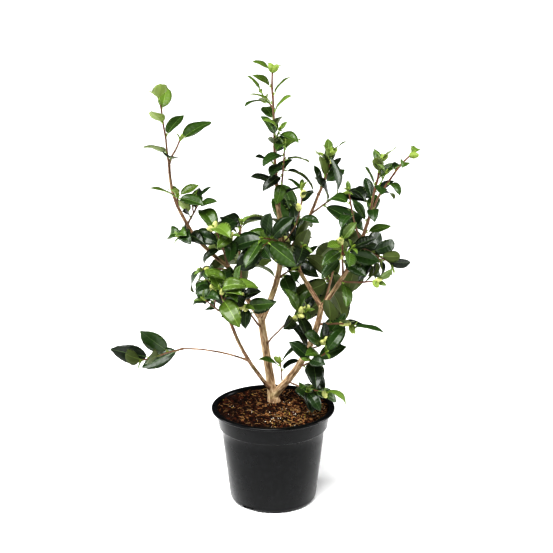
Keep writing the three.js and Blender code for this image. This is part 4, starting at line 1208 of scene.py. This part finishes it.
# %% Leaf: finish
VEINS = dict(pairs=7, slant=1.3, depth=0.35, strength=0.35)
TONES = {
    "dark": dict(
        tops=["#1b2f0f", "#284015", "#111d09"], under="#4b5729", rib="#52693a", keel="#74834a"),
    "mid": dict(tops=["#3f571c", "#304717"], under="#68773b", rib="#6d8a45", keel="#87965a"),
    "young": dict(tops=["#4e6324", "#5d742e"], under="#7b8d44", rib="#84a04c", keel="#93a55c"),
}


def leaf_top(name, colour):
    """Waxy upper side of a leaf: duller green under a clear coat, with raised side veins."""
    material, tree, shader = new_material(
        name, colour, 0.42, 1.45,
        **{"Specular IOR Level": 0.3, "Coat Weight": 0.34, "Coat Roughness": 0.15})
    blade = add_node(tree, "Attribute", attribute_name="blade").outputs["Vector"]
    parts = add_node(tree, "SeparateXYZ", {"Vector": blade})
    across = add_node(tree, "Math", {0: parts.outputs["X"]}, operation="ABSOLUTE").outputs[0]
    back = add_node(
        tree, "Math", {0: across, 1: -VEINS["slant"], 2: 0.0}, operation="MULTIPLY_ADD").outputs[0]
    turns = add_node(
        tree, "Math", {0: parts.outputs["Y"], 1: 2.0 * math.pi * VEINS["pairs"], 2: back},
        operation="MULTIPLY_ADD").outputs[0]
    veins = add_node(tree, "Math", {0: turns}, operation="SINE").outputs[0]
    add_bump(tree, shader, veins, VEINS["strength"], VEINS["depth"])
    return material


def leaf_materials(age):
    """Materials of one age of leaf: its tops first, then underside, midrib and keel."""
    tones = TONES[age]
    tops = [leaf_top(f"waxy_{age}_leaf_{k + 1}", tone) for k, tone in enumerate(tones["tops"])]
    under = new_material(f"dull_{age}_underside", tones["under"], 0.55, 1.45)[0]
    rib = new_material(f"{age}_midrib", tones["rib"], 0.45, 1.45)[0]
    keel = new_material(f"{age}_keel", tones["keel"], 0.5, 1.45)[0]
    return [*tops, under, rib, keel]


AGE = dict(mature=-0.24, mid=0.05, young=0.5, tip=0.5, side_twig=0.4, swing=0.3)
AGE_FROM = dict(mid=0.22, young=0.48)


def age_of(leaf, dice):
    """Young leaves stand at the tips of the growing shoots."""
    twig = limbs[leaf["twig"]]
    at_tip = leaf["share"] ** 2 if twig["name"] == leaf["mass"] else AGE["side_twig"]
    youth = AGE[leaf["tone"]] + AGE["tip"] * at_tip + dice.swing(AGE["swing"])
    if youth > AGE_FROM["young"]:
        return "young"
    return "mid" if youth > AGE_FROM["mid"] else "dark"


def leaf_pieces():
    sheaves = {age: Sheaf() for age in TONES}
    dice = Dice(7)
    for leaf in leaves + newest_leaves:
        if "age" not in leaf:
            leaf["age"] = age_of(leaf, dice)
        age = leaf["age"]
        tops = len(TONES[age]["tops"])
        top = int(dice.roll() * tops)
        slot_of = {TOP: top, UNDER: tops, MIDRIB: tops + 1, KEEL: tops + 2}
        points, notes = blade_mesh(leaf, dice.roll() * 6)
        sheaves[age].add(points, BLADE_FACES, [slot_of[kind] for kind in BLADE_KINDS], notes)
    return {
        age: sheaf.piece(f"{age}_leaves", leaf_materials(age), "blade")
        for age, sheaf in sheaves.items()}


leaf_piece = leaf_pieces()
for age, piece in leaf_piece.items():
    count = sum(leaf["age"] == age for leaf in leaves + newest_leaves)
    print(age, "leaves:", count, "with", triangles(piece), "triangles")

# %% [markdown]
# A leaf stalk is short, stout and yellow-green. It starts inside its twig and runs on under the
# blade's foot, where it becomes the keel.

# %% Leaf stalks
STALK = dict(
    sides=6, growth=0.6, shares=(0, 0.35, 0.7, 1), radii=(1.15, 0.95, 0.8, 0.75, 0.5),
    sags=(0, 0.3, 0.8, 0.7, 0.9), sag=0.6, under=0.04)
MATURE, YOUNG = range(2)


def stalk_tubes():
    sheaf = Sheaf()
    for leaf in leaves + newest_leaves:
        scale = (leaf["length"] / BLADE["usual_length"]) ** STALK["growth"]
        line = leaf["base"] - leaf["root"]
        end = blade_points(leaf, np.array([STALK["under"]]), np.zeros(1))[0][0]
        points = [*(leaf["root"] + line * share for share in STALK["shares"]), end]
        points = np.array([
            point - leaf["normal"] * sag * STALK["sag"]
            for point, sag in zip(points, STALK["sags"])])
        skin, faces = tube(points, np.array(STALK["radii"]) * scale, STALK["sides"])
        sheaf.add(skin, faces, MATURE if leaf["age"] == "dark" else YOUNG)
    return sheaf


stalks = stalk_tubes().piece("leaf_stalks", [
    new_material("mature_leaf_stalk", "#6f7f3a", 0.5, 1.45)[0],
    new_material("young_leaf_stalk", "#8fae50", 0.5, 1.45)[0]])
print("leaf stalks:", triangles(stalks), "triangles")

# %% [markdown]
# ## Buds
# A plump flower bud is an egg of overlapping pale green scales, and a leaf bud is a slim spindle.
# Each is modelled once, from balls squashed and tilted one by one, and then copied to every tip. The
# tiny bud above a leaf stalk is a plain pointed ball, because there is one for every leaf.

# %% Buds: the models


def ball(place, size, tilt=0.0, azimuth=0.0, segments=10, rings=7):
    """A ball squashed to `size`, tilted and turned about +Z, all in bud lengths."""
    bpy.ops.object.select_all(action="DESELECT")
    bpy.ops.mesh.primitive_uv_sphere_add(segments=segments, ring_count=rings, radius=0.5)
    bpy.ops.object.mode_set(mode="EDIT")
    bpy.ops.mesh.select_all(action="SELECT")
    bpy.ops.transform.resize(value=size)
    bpy.ops.object.mode_set(mode="OBJECT")
    shape = bpy.context.object
    shape.rotation_euler = (0, math.radians(tilt), math.radians(azimuth))
    shape.location = place
    bpy.ops.object.transform_apply(location=True, rotation=True, scale=True)
    return shape


def take_mesh(shapes):
    """Joins shapes, and takes their points and faces as arrays before removing them."""
    bpy.ops.object.select_all(action="DESELECT")
    for shape in shapes:
        shape.select_set(True)
    bpy.context.view_layer.objects.active = shapes[0]
    if len(shapes) > 1:
        bpy.ops.object.join()
    mesh = shapes[0].data
    points = np.array([vertex.co[:] for vertex in mesh.vertices])
    faces = [tuple(face.vertices) for face in mesh.polygons]
    bpy.data.objects.remove(shapes[0])
    return points, faces


def scale_ball(number, height, out, size, tilt):
    """One bud scale, leaning on the bud's side."""
    azimuth = TWIG["golden"] * number
    place = (out * math.cos(math.radians(azimuth)), out * math.sin(math.radians(azimuth)), height)
    return ball(place, size, tilt, azimuth, 8, 6)


def flower_bud():
    shapes = [ball((0, 0, 0.52), (0.6, 0.6, 0.96))]
    for number in range(4):
        shapes.append(scale_ball(number, 0.36, 0.15, (0.34, 0.56, 0.66), 12))
    for number in range(4, 7):
        shapes.append(scale_ball(number, 0.16, 0.14, (0.3, 0.46, 0.34), 16))
    return take_mesh(shapes)


def leaf_bud():
    shapes = [ball((0, 0, 0.5), (0.3, 0.3, 1.0), segments=8)]
    for number in range(3):
        shapes.append(scale_ball(number, 0.3, 0.06, (0.2, 0.3, 0.56), 7))
    return take_mesh(shapes)


def axil_bud():
    return take_mesh([ball((0, 0, 0.5), (0.4, 0.4, 1.0), segments=6, rings=5)])


BUD_MODELS = {"flower": flower_bud(), "leaf": leaf_bud(), "axil": axil_bud()}
print("bud faces:", {kind: len(model[1]) for kind, model in BUD_MODELS.items()})

# %% [markdown]
# Every shoot ends in its buds, and every leaf has a bud of its own in the angle above its stalk.
# Most of these stay tiny, but some near the end of a shoot are plump flower buds. The copies are
# turned at random about their own length.

# %% Buds: the copies
AXIL_BUD = dict(
    length=4.2, swing=0.2, out=1.2, up=1.4, lean=0.4, plump=13.5, plump_swing=0.12, plump_from=0.45,
    chance=0.4)
PALE, GREENISH, SCALY = range(3)
GROWING = {"crown_top", "upper_right", "right_top", "right_far", "upper_left_tip", "leader_spray"}
BUDDING = {"left_inner", "left_front", "left_outer", "hanging_left", "left_low_cluster",
           "leader_left", "leader_right", "inner_right", "right_inner", "right_centre", "right_mid",
           "right_stub", "right_stem_spray", "right_low", "stem_twig", "upper_right",
           "small_right_twig", "centre_spray", "right_side_spray"}


def copy_along(sheaf, model, foot, direction, size, spin, slot):
    """Adds a copy of a model that stands on +Z, turned to a direction, `size` long."""
    points, faces = model
    side = unit(np.cross(direction, [0.3, 0.9, 0.1]))
    other = np.cross(direction, side)
    first = side * math.cos(spin) + other * math.sin(spin)
    second = other * math.cos(spin) - side * math.sin(spin)
    turned = points[:, :1] * first + points[:, 1:2] * second + points[:, 2:] * direction
    sheaf.add(foot + turned * size, faces, slot)


def bud_copies():
    sheaf = Sheaf()
    dice = Dice(31)
    for bud in buds:
        size = bud["length"] * (1 + dice.swing(BUD["swing"]))
        pale = bud["mass"] not in GROWING and dice.roll() < BUD["pale"]
        slot = (PALE if pale else GREENISH) if bud["kind"] == "flower" else SCALY
        copy_along(
            sheaf, BUD_MODELS[bud["kind"]], bud["foot"] - bud["direction"] * BUD["sunk"],
            bud["direction"], size, dice.roll() * 6, slot)
    for leaf in leaves:
        _, azimuth, rise, radius = along(limbs[leaf["twig"]], leaf["share"])
        onward = heading(azimuth, rise)
        foot = leaf["root"] + leaf["heading"] * (radius + AXIL_BUD["out"]) + onward * AXIL_BUD["up"]
        plump = leaf["mass"] in BUDDING and leaf["share"] > AXIL_BUD["plump_from"]
        if plump and dice.roll() < AXIL_BUD["chance"]:
            direction = unit(onward * 0.6 + leaf["heading"] * 0.8)
            copy_along(
                sheaf, BUD_MODELS["flower"], foot - direction, direction,
                AXIL_BUD["plump"] * (1 + dice.swing(AXIL_BUD["plump_swing"])), dice.roll() * 6, PALE)
            continue
        direction = unit(onward + leaf["heading"] * AXIL_BUD["lean"])
        copy_along(
            sheaf, BUD_MODELS["axil"], foot - direction, direction,
            AXIL_BUD["length"] * (1 + dice.swing(AXIL_BUD["swing"])), 0, SCALY)
    return sheaf


BUD_FINISHES = [
    new_material("pale_flower_bud", "#b8bb78", 0.5, 1.45)[0],
    new_material("green_flower_bud", "#7d9040", 0.5, 1.45)[0],
    new_material("leaf_bud_scale", "#7c8f3c", 0.5, 1.45)[0],
]
bud_piece = bud_copies().piece("buds", BUD_FINISHES)
print("buds:", len(buds), "at tips,", len(leaves), "in axils,", triangles(bud_piece), "triangles")

# %% [markdown]
# ## The pot
# The pot is moulded from black polypropylene: a tapering cup with a stiff collar, a rolled lip,
# and drain channels across the edge of its foot. It is drawn as a potter throws: one ring of
# points is extruded and scaled from the foot up the outside, over the lip and down the inside.

# %% Pot: the cup
RIM = (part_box("pot")[1][0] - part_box("pot")[0][0]) / 2 / MM
POT = dict(
    lip=4.4, collar_top=86.8, collar_foot=83.6, collar_height=29, shoulder=3,
    body_top=79, base=66.3, corner=8, wall=1.6, floor=2, sides=144, line_drop=15, foot_line=9,
    smooth_below=35)
COLLAR_FOOT = POT_HEIGHT - POT["collar_height"]
BODY_TOP = COLLAR_FOOT - POT["shoulder"]
LIP_FOOT = POT_HEIGHT - POT["lip"]
CHANNEL = dict(
    count=3, azimuth=235, width=22, height=6, inner=38, wall=1.6, hole=4, sunk=0.5, roof_round=1,
    bore_round=1.2)


def arc(centre, radius, start, end, steps):
    """Points (radius, height) of a round stretch about a centre, angles in degrees."""
    angles = np.radians(np.linspace(start, end, steps + 1))
    return [(centre[0] + radius * math.cos(a), centre[1] + radius * math.sin(a)) for a in angles]


def wall_radius(height):
    """Outer radius of the plain body at a height."""
    flare = POT["body_top"] - POT["base"]
    return POT["base"] + flare * (height - POT["corner"]) / (BODY_TOP - POT["corner"])


def pot_profile():
    """(radius, height) pairs from the foot's edge, up the outside, and down to the floor."""
    line = BODY_TOP - POT["line_drop"]
    lip, wall = POT["lip"] / 2, POT["wall"]
    return [
        *arc((POT["base"] - POT["corner"], POT["corner"]), POT["corner"], -90, 0, 5),
        (wall_radius(POT["foot_line"]), POT["foot_line"]),
        (wall_radius(POT["foot_line"]) + 0.3, POT["foot_line"] + 0.8),
        (wall_radius(line) + 0.3, line),
        (wall_radius(line) + 0.1, line + 0.7),
        (POT["body_top"] - 0.2, BODY_TOP - 0.8),
        (POT["body_top"] + 0.2, BODY_TOP),
        (POT["collar_foot"] - 0.9, COLLAR_FOOT - 0.9),
        (POT["collar_foot"] - 0.2, COLLAR_FOOT - 0.2),
        (POT["collar_foot"] + 0.1, COLLAR_FOOT + 0.8),
        (POT["collar_top"] - 0.3, LIP_FOOT - 1.2),
        (POT["collar_top"] + 0.9, LIP_FOOT),
        *arc((RIM - lip, POT_HEIGHT - lip), lip, -90, 90, 10),
        (POT["collar_top"] + 0.8, POT_HEIGHT),
        (POT["collar_top"] - wall * 0.6, POT_HEIGHT - wall * 0.5),
        (POT["collar_top"] - wall, POT_HEIGHT - wall * 1.5),
        (POT["collar_foot"] - wall, COLLAR_FOOT + wall / 2),
        (POT["body_top"] - wall, BODY_TOP + wall / 2),
        (POT["base"] - wall, POT["floor"] + POT["corner"]),
        (POT["base"] - POT["corner"], POT["floor"]),
    ]


def turn_profile(name, profile, sides):
    """Extrudes and scales a ring through a profile, and closes both ends to their centres."""
    bpy.ops.object.select_all(action="DESELECT")
    start_radius, start_height = profile[0]
    bpy.ops.mesh.primitive_circle_add(
        vertices=sides, radius=start_radius * MM, location=(0, 0, start_height * MM),
        fill_type="NGON")
    bpy.ops.object.transform_apply(location=True, rotation=True, scale=True)
    bpy.ops.object.mode_set(mode="EDIT")
    bpy.ops.mesh.select_mode(type="EDGE")
    bpy.ops.mesh.select_all(action="SELECT")
    for (radius, height), (next_radius, next_height) in zip(profile, profile[1:]):
        bpy.ops.mesh.extrude_edges_move(
            TRANSFORM_OT_translate={"value": (0, 0, (next_height - height) * MM)})
        ratio = next_radius / radius
        bpy.ops.transform.resize(value=(ratio, ratio, 1), center_override=(0, 0, next_height * MM))
    bpy.ops.mesh.edge_face_add()
    bpy.ops.mesh.select_all(action="SELECT")
    bpy.ops.mesh.normals_make_consistent(inside=False)
    bpy.ops.object.mode_set(mode="OBJECT")
    turned = bpy.context.object
    turned.name = name
    return turned


pot = turn_profile("nursery_pot", pot_profile(), POT["sides"])
print("pot:", triangles(pot), "triangles, rim radius", round(RIM, 1), "mm")

# %% [markdown]
# Water leaves the pot through three short channels under the foot, each with a hole above it. A
# channel is cut by Boolean modifiers: first a block of wall is joined on inside, then the channel
# and its hole are taken out of it.

# %% Pot: drain channels


def block(size, centre, azimuth, round_edge=0.0):
    """A box in mm that lies along an azimuth, with its long edges rounded."""
    bpy.ops.object.select_all(action="DESELECT")
    bpy.ops.mesh.primitive_cube_add(size=1)
    bpy.ops.object.mode_set(mode="EDIT")
    bpy.ops.mesh.select_all(action="SELECT")
    bpy.ops.transform.resize(value=[side * MM for side in size])
    if round_edge:
        bpy.ops.mesh.bevel(offset=round_edge * MM, segments=3, affect="EDGES")
    bpy.ops.object.mode_set(mode="OBJECT")
    made = bpy.context.object
    turn = math.radians(azimuth)
    made.rotation_euler = (0, 0, turn)
    reach = centre[0] * MM
    made.location = (reach * math.cos(turn), reach * math.sin(turn), centre[1] * MM)
    bpy.ops.object.transform_apply(location=True, rotation=True, scale=True)
    return made


def combine(piece, tool, operation):
    apply_modifier(piece, "BOOLEAN", object=tool, operation=operation, solver="EXACT")
    bpy.data.objects.remove(tool)


def drill(radius, height, place):
    bpy.ops.object.select_all(action="DESELECT")
    bpy.ops.mesh.primitive_cylinder_add(
        vertices=24, radius=radius * MM, depth=height * MM, location=place)
    bpy.ops.object.transform_apply(location=True, rotation=True, scale=True)
    return bpy.context.object


def cut_channels(cup):
    """Three roofed channels from under the floor out through the foot's edge."""
    wall, high = CHANNEL["wall"], CHANNEL["height"]
    outer = POT["base"] - POT["corner"]
    for number in range(CHANNEL["count"]):
        azimuth = CHANNEL["azimuth"] + 360 / CHANNEL["count"] * number
        length = outer - CHANNEL["inner"] + wall
        roof = (length, CHANNEL["width"] + 2 * wall, high + wall - CHANNEL["sunk"])
        centre = (CHANNEL["inner"] - wall + length / 2, CHANNEL["sunk"] + roof[2] / 2)
        combine(cup, block(roof, centre, azimuth, CHANNEL["roof_round"]), "UNION")
        length = RIM - CHANNEL["inner"]
        bore = (length, CHANNEL["width"], 2 * high)
        centre = (CHANNEL["inner"] + length / 2, 0)
        combine(cup, block(bore, centre, azimuth, CHANNEL["bore_round"]), "DIFFERENCE")
        middle, turn = (CHANNEL["inner"] + POT["base"]) / 2 * MM, math.radians(azimuth)
        hole = drill(CHANNEL["hole"], 4 * high, (middle * math.cos(turn), middle * math.sin(turn), 0))
        combine(cup, hole, "DIFFERENCE")


cut_channels(pot)
select_only(pot)
bpy.ops.object.shade_smooth_by_angle(angle=math.radians(POT["smooth_below"]))
print("pot with channels:", triangles(pot), "triangles")

# %% [markdown]
# Moulded polypropylene is close to black with a cool cast. It has a soft gloss that is broken up
# by faint waves in the wall and by scuffs, so the roughness varies over a few centimetres.

# %% Pot: finish


def pot_material():
    """Injection-moulded black polypropylene: satin, a little wavy, lightly scuffed."""
    material, tree, shader = new_material(
        "moulded_black_polypropylene", "#0b0c0d", 0.3, 1.49,
        **{"Specular IOR Level": 0.16, "Coat Weight": 0.15, "Coat Roughness": 0.1})
    scuff = object_noise(tree, 22, 5.0)
    rough = add_node(
        tree, "MapRange",
        {"Value": scuff, "From Min": 0.3, "From Max": 0.7, "To Min": 0.24, "To Max": 0.36})
    tree.links.new(rough.outputs["Result"], shader.inputs["Roughness"])
    dusty = ramp(tree, object_noise(tree, 9, 6.0), [(0.45, "#090a0b"), (0.75, "#121315")])
    tree.links.new(dusty, shader.inputs["Base Color"])
    add_bump(tree, shader, object_noise(tree, 30, 1.0, (1, 1, 0.35)), 0.5, 0.5)
    return material


pot.data.materials.clear()
pot.data.materials.append(pot_material())
print("pot finished in", pot.data.materials[0].name)

# %% [markdown]
# ## Compost
# The pot is filled to a few millimetres below its rim with bark-based compost, slightly heaped
# towards the middle. Its body is turned like the pot, in close rings across the top, so that the
# surface can be broken up into lumps.

# %% Compost: the body
COMPOST = dict(
    edge=145.6, flat=(46, 147), shoulder=(72, 146.4), gap=0.3, rings=44, sides=200,
    lumps=((16, 0.8), (6, 0.9), (2.6, 0.7)), still_edge=1.5)


def inside_wall(height):
    """Inner radius of the pot's wall at a height."""
    heights = [POT["floor"] + POT["corner"], BODY_TOP, COLLAR_FOOT, LIP_FOOT]
    radii = [POT["base"], POT["body_top"], POT["collar_foot"], POT["collar_top"]]
    return float(np.interp(height, heights, radii)) - POT["wall"]


def heap_height(radius):
    """Height of the heaped surface at a distance from the middle."""
    flat, shoulder = COMPOST["flat"], COMPOST["shoulder"]
    edge = inside_wall(COMPOST["edge"])
    return float(np.interp(
        radius, [flat[0], shoulder[0], edge], [flat[1], shoulder[1], COMPOST["edge"]]))


def compost_body():
    floor, gap = POT["floor"] + COMPOST["gap"], COMPOST["gap"]
    heights = [floor + POT["corner"], BODY_TOP, COLLAR_FOOT, COMPOST["edge"]]
    wall = [(inside_wall(height) - gap, height) for height in heights]
    edge = wall[-1][0]
    inward = [edge * (1 - k / COMPOST["rings"]) for k in range(1, COMPOST["rings"])]
    top = [(radius, heap_height(radius)) for radius in inward]
    start = (POT["base"] - POT["corner"] - gap, floor)
    return turn_profile("compost", [start, *wall, *top], COMPOST["sides"])


def heap_lumps(piece):
    """Breaks the heaped surface up into lumps of three sizes, and leaves the edge still."""
    for vertex in piece.data.vertices:
        place = vertex.co / MM
        radius = math.hypot(place.x, place.y)
        if place.z < COMPOST["edge"] - 0.5:
            continue
        inside = inside_wall(COMPOST["edge"]) - COMPOST["gap"] - radius
        free = min(inside / COMPOST["still_edge"], 1)
        for size, height in COMPOST["lumps"]:
            vertex.co.z += noise.noise(place / size) * height * free * MM


compost = compost_body()
roof_gap = 2 * (CHANNEL["wall"] + COMPOST["gap"])
for channel_number in range(CHANNEL["count"]):
    reach = POT["base"] - CHANNEL["inner"] + roof_gap
    space = (reach, CHANNEL["width"] + roof_gap, 2 * (CHANNEL["height"] + roof_gap / 2))
    turned_to = CHANNEL["azimuth"] + 360 / CHANNEL["count"] * channel_number
    centre = (CHANNEL["inner"] + (reach - roof_gap) / 2, 0)
    combine(compost, block(space, centre, turned_to), "DIFFERENCE")
heap_lumps(compost)
select_only(compost)
bpy.ops.object.shade_smooth()
print("compost:", triangles(compost), "triangles")

# %% [markdown]
# Compost is dull all over. One noise gives both its crumbs and its colour: brown on the dried lumps,
# and near black in the hollows between them: painted shade over the compost's own dark tone.

# %% Compost: finish


def compost_material():
    """Peat and fine bark, dull: near black in the hollows as painted shade, brown and dry on the
    lumps.
    """
    material, tree, shader = new_material(
        "bark_compost", "#2a1b12", 0.85, 1.4, **{"Specular IOR Level": 0.2})
    crumbs = object_noise(tree, 2.2, 6.0)
    # Painted shade: the dark stops fall in the hollows of the same noise that raises the bump, and the
    # brown stops fall on the lumps.
    colour = ramp(
        tree, crumbs,
        [(0.38, "#080301"), (0.5, "#180b05"), (0.6, "#321a0d"), (0.7, "#523420")])
    tree.links.new(colour, shader.inputs["Base Color"])
    add_bump(tree, shader, crumbs, 1.0, 1.5)
    return material


compost.data.materials.clear()
compost.data.materials.append(compost_material())
print("compost finished in", compost.data.materials[0].name)

# %% [markdown]
# The bits on top make it compost: bark chips from dark to straw-coloured, loose fibres, a few
# white grains of perlite and round yellow prills of fertiliser, which somebody sprinkled mostly on
# one side. Each bit is dropped on the surface along a ray and laid on what it hits.

# %% Compost: the bits
# One entry below makes chips paler towards the lit right and darker towards the shaded left: painted
# light.
BITS = dict(
    chips=1700, fibres=320, grains=85, prills=34, margin=0.6, trunk_room=9, rise=20,
    paler_to_lit_right=0.22, fibres_right=0.25, grains_right=0.4, prills_right=0.6, wet=0.42, brown=0.82)
CHIP = dict(length=(0.8, 2.2), longest=2.4, width=(0.35, 0.75), thickness=(0.3, 0.8), tilt=0.9)
FIBRE = dict(half=(2.5, 7), bow=0.35, radius=(0.12, 0.34), tilt=0.25, straw=0.6)
GRAIN_SIZES, PRILL_SIZES = (0.4, 0.9), (0.7, 1.1)
BIT_FINISHES = [
    new_material("wet_bark_chip", "#120502", 0.75, 1.45, **{"Specular IOR Level": 0.15})[0],
    new_material("brown_bark_chip", "#3c1b0b", 0.8, 1.45, **{"Specular IOR Level": 0.2})[0],
    new_material("dry_bark_chip", "#7d5833", 0.8, 1.45)[0],
    new_material("straw_fibre", "#ac8a58", 0.7, 1.45)[0],
    new_material("perlite_grain", "#e4dfd0", 0.9, 1.5)[0],
    new_material("yellow_prill", "#a8963f", 0.35, 1.5)[0],
]
WET, BROWN_CHIP, DRY, STRAW, PERLITE, PRILL = range(6)
CUBE = [(0, 3, 2, 1), (4, 5, 6, 7), (0, 1, 5, 4), (1, 2, 6, 5), (2, 3, 7, 6), (3, 0, 4, 7)]
CORNERS = np.array([(x, y, z) for z in (-1, 1) for x, y in ((-1, -1), (1, -1), (1, 1), (-1, 1))])


def drop(dice, leaning=0.0):
    """A place on the heap in mm and the slope there. `leaning` draws bits to the bright right."""
    while True:
        edge = inside_wall(COMPOST["edge"]) - BITS["margin"]
        distance = edge * math.sqrt(dice.roll())
        azimuth = dice.roll() * 2 * math.pi
        if dice.roll() < leaning:
            azimuth = math.radians(-45 + dice.swing(50))
        x, y = distance * math.cos(azimuth), distance * math.sin(azimuth)
        if math.hypot(x - TRUNK_FOOT[0], y - TRUNK_FOOT[1]) < BITS["trunk_room"]:
            continue
        start = Vector((x, y, SOIL + BITS["rise"])) * MM
        hit, place, slope, _ = compost.ray_cast(start, Vector((0, 0, -1)))
        if hit:
            return np.array(place) / MM, np.array(slope)


def laid(slope, spin, tilt):
    """Three directions for a bit that lies on a slope, spun about it and tilted a little."""
    up = unit(slope + np.array([math.cos(spin), math.sin(spin), 0]) * tilt)
    first = unit(np.cross(up, [math.sin(spin * 3), math.cos(spin * 3), 0.1]))
    return first, np.cross(up, first), up


def chip(dice):
    """A flat splinter of bark with eight uneven corners."""
    place, slope = drop(dice)
    first, second, up = laid(slope, dice.roll() * 6.3, dice.roll() * CHIP["tilt"])
    long_side = dice.between(*CHIP["length"]) + CHIP["longest"] * dice.roll() ** 4
    size = [long_side, long_side * dice.between(*CHIP["width"]), dice.between(*CHIP["thickness"])]
    jitter = np.array([[dice.swing(0.3) for _ in range(3)] for _ in range(8)])
    corners = (CORNERS * 0.8 + jitter) * size
    frame_of_bit = np.stack([first, second, up])
    # Painted light: on top of each chip's random tone, chips turn paler towards the lit right and
    # darker towards the shaded left.
    shade = dice.roll() + BITS["paler_to_lit_right"] * place[0] / RIM
    slot = WET if shade < BITS["wet"] else BROWN_CHIP if shade < BITS["brown"] else DRY
    return place + up * size[2] * 0.4 + corners @ frame_of_bit, CUBE, slot


def fibre(dice):
    """A thin curved strand that lies over the chips."""
    place, slope = drop(dice, BITS["fibres_right"])
    first, second, up = laid(slope, dice.roll() * 6.3, FIBRE["tilt"])
    half = dice.between(*FIBRE["half"])
    bow = dice.swing(FIBRE["bow"])
    shares = np.linspace(-1, 1, 5)
    line = (
        place + first * (shares * half)[:, None] + second * (bow * half * (1 - shares ** 2))[:, None]
        + up * (0.6 + 0.5 * (1 - shares ** 2))[:, None])
    radius = dice.between(*FIBRE["radius"])
    skin, faces = tube(line, radius * (1.15 - shares ** 2 * 0.6), 4)
    return skin, faces, STRAW if dice.roll() < FIBRE["straw"] else DRY


def grain_model():
    bpy.ops.object.select_all(action="DESELECT")
    bpy.ops.mesh.primitive_ico_sphere_add(subdivisions=1, radius=1)
    return take_mesh([bpy.context.object])


def scatter_bits():
    sheaf, dice = Sheaf(), Dice(77)
    for _ in range(BITS["chips"]):
        sheaf.add(*chip(dice))
    for _ in range(BITS["fibres"]):
        sheaf.add(*fibre(dice))
    points, faces = grain_model()
    for _ in range(BITS["grains"]):
        place, _ = drop(dice, BITS["grains_right"])
        size = dice.between(*GRAIN_SIZES)
        sheaf.add(place + UP * size * 0.6 + points * size, faces, PERLITE)
    for _ in range(BITS["prills"]):
        place, _ = drop(dice, BITS["prills_right"])
        size = dice.between(*PRILL_SIZES)
        sheaf.add(place + UP * size * 0.7 + points * size, faces, PRILL)
    return sheaf.piece("compost_bits", BIT_FINISHES)


bits = scatter_bits()
for face in bits.data.polygons:
    face.use_smooth = face.material_index == PRILL
print("bits:", triangles(bits), "triangles")

# %% [markdown]
# ## Handing the pieces over
# The shrub is one rigid thing, so every piece rides with the root. Each one names the solids that
# it replaces and the slot whose finish it carries: wood replaces the trunk and boughs, and twigs,
# leaves and buds together replace the leaf masses.

# %% Ride and replace
WOOD_NODES = [spec["name"] for spec in LIMBS]
MASS_NODES = [shoot["name"] for shoot in SHOOTS]
HANDED_OVER = [
    (pot, "pot", ["pot"]),
    (compost, "compost", ["compost"]),
    (bits, "compost", ["compost"]),
    (wood, "bark", WOOD_NODES),
    (twigs, "bark", MASS_NODES),
    (stalks, "young_leaves", MASS_NODES),
    (bud_piece, "young_leaves", MASS_NODES),
    (leaf_piece["dark"], "dark_leaves", MASS_NODES),
    (leaf_piece["mid"], "mid_leaves", MASS_NODES),
    (leaf_piece["young"], "young_leaves", MASS_NODES),
]
for piece, slot_name, nodes in HANDED_OVER:
    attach(piece, "root")
    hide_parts(*nodes)
print("all pieces:", sum(triangles(piece) for piece, _, _ in HANDED_OVER), "triangles")
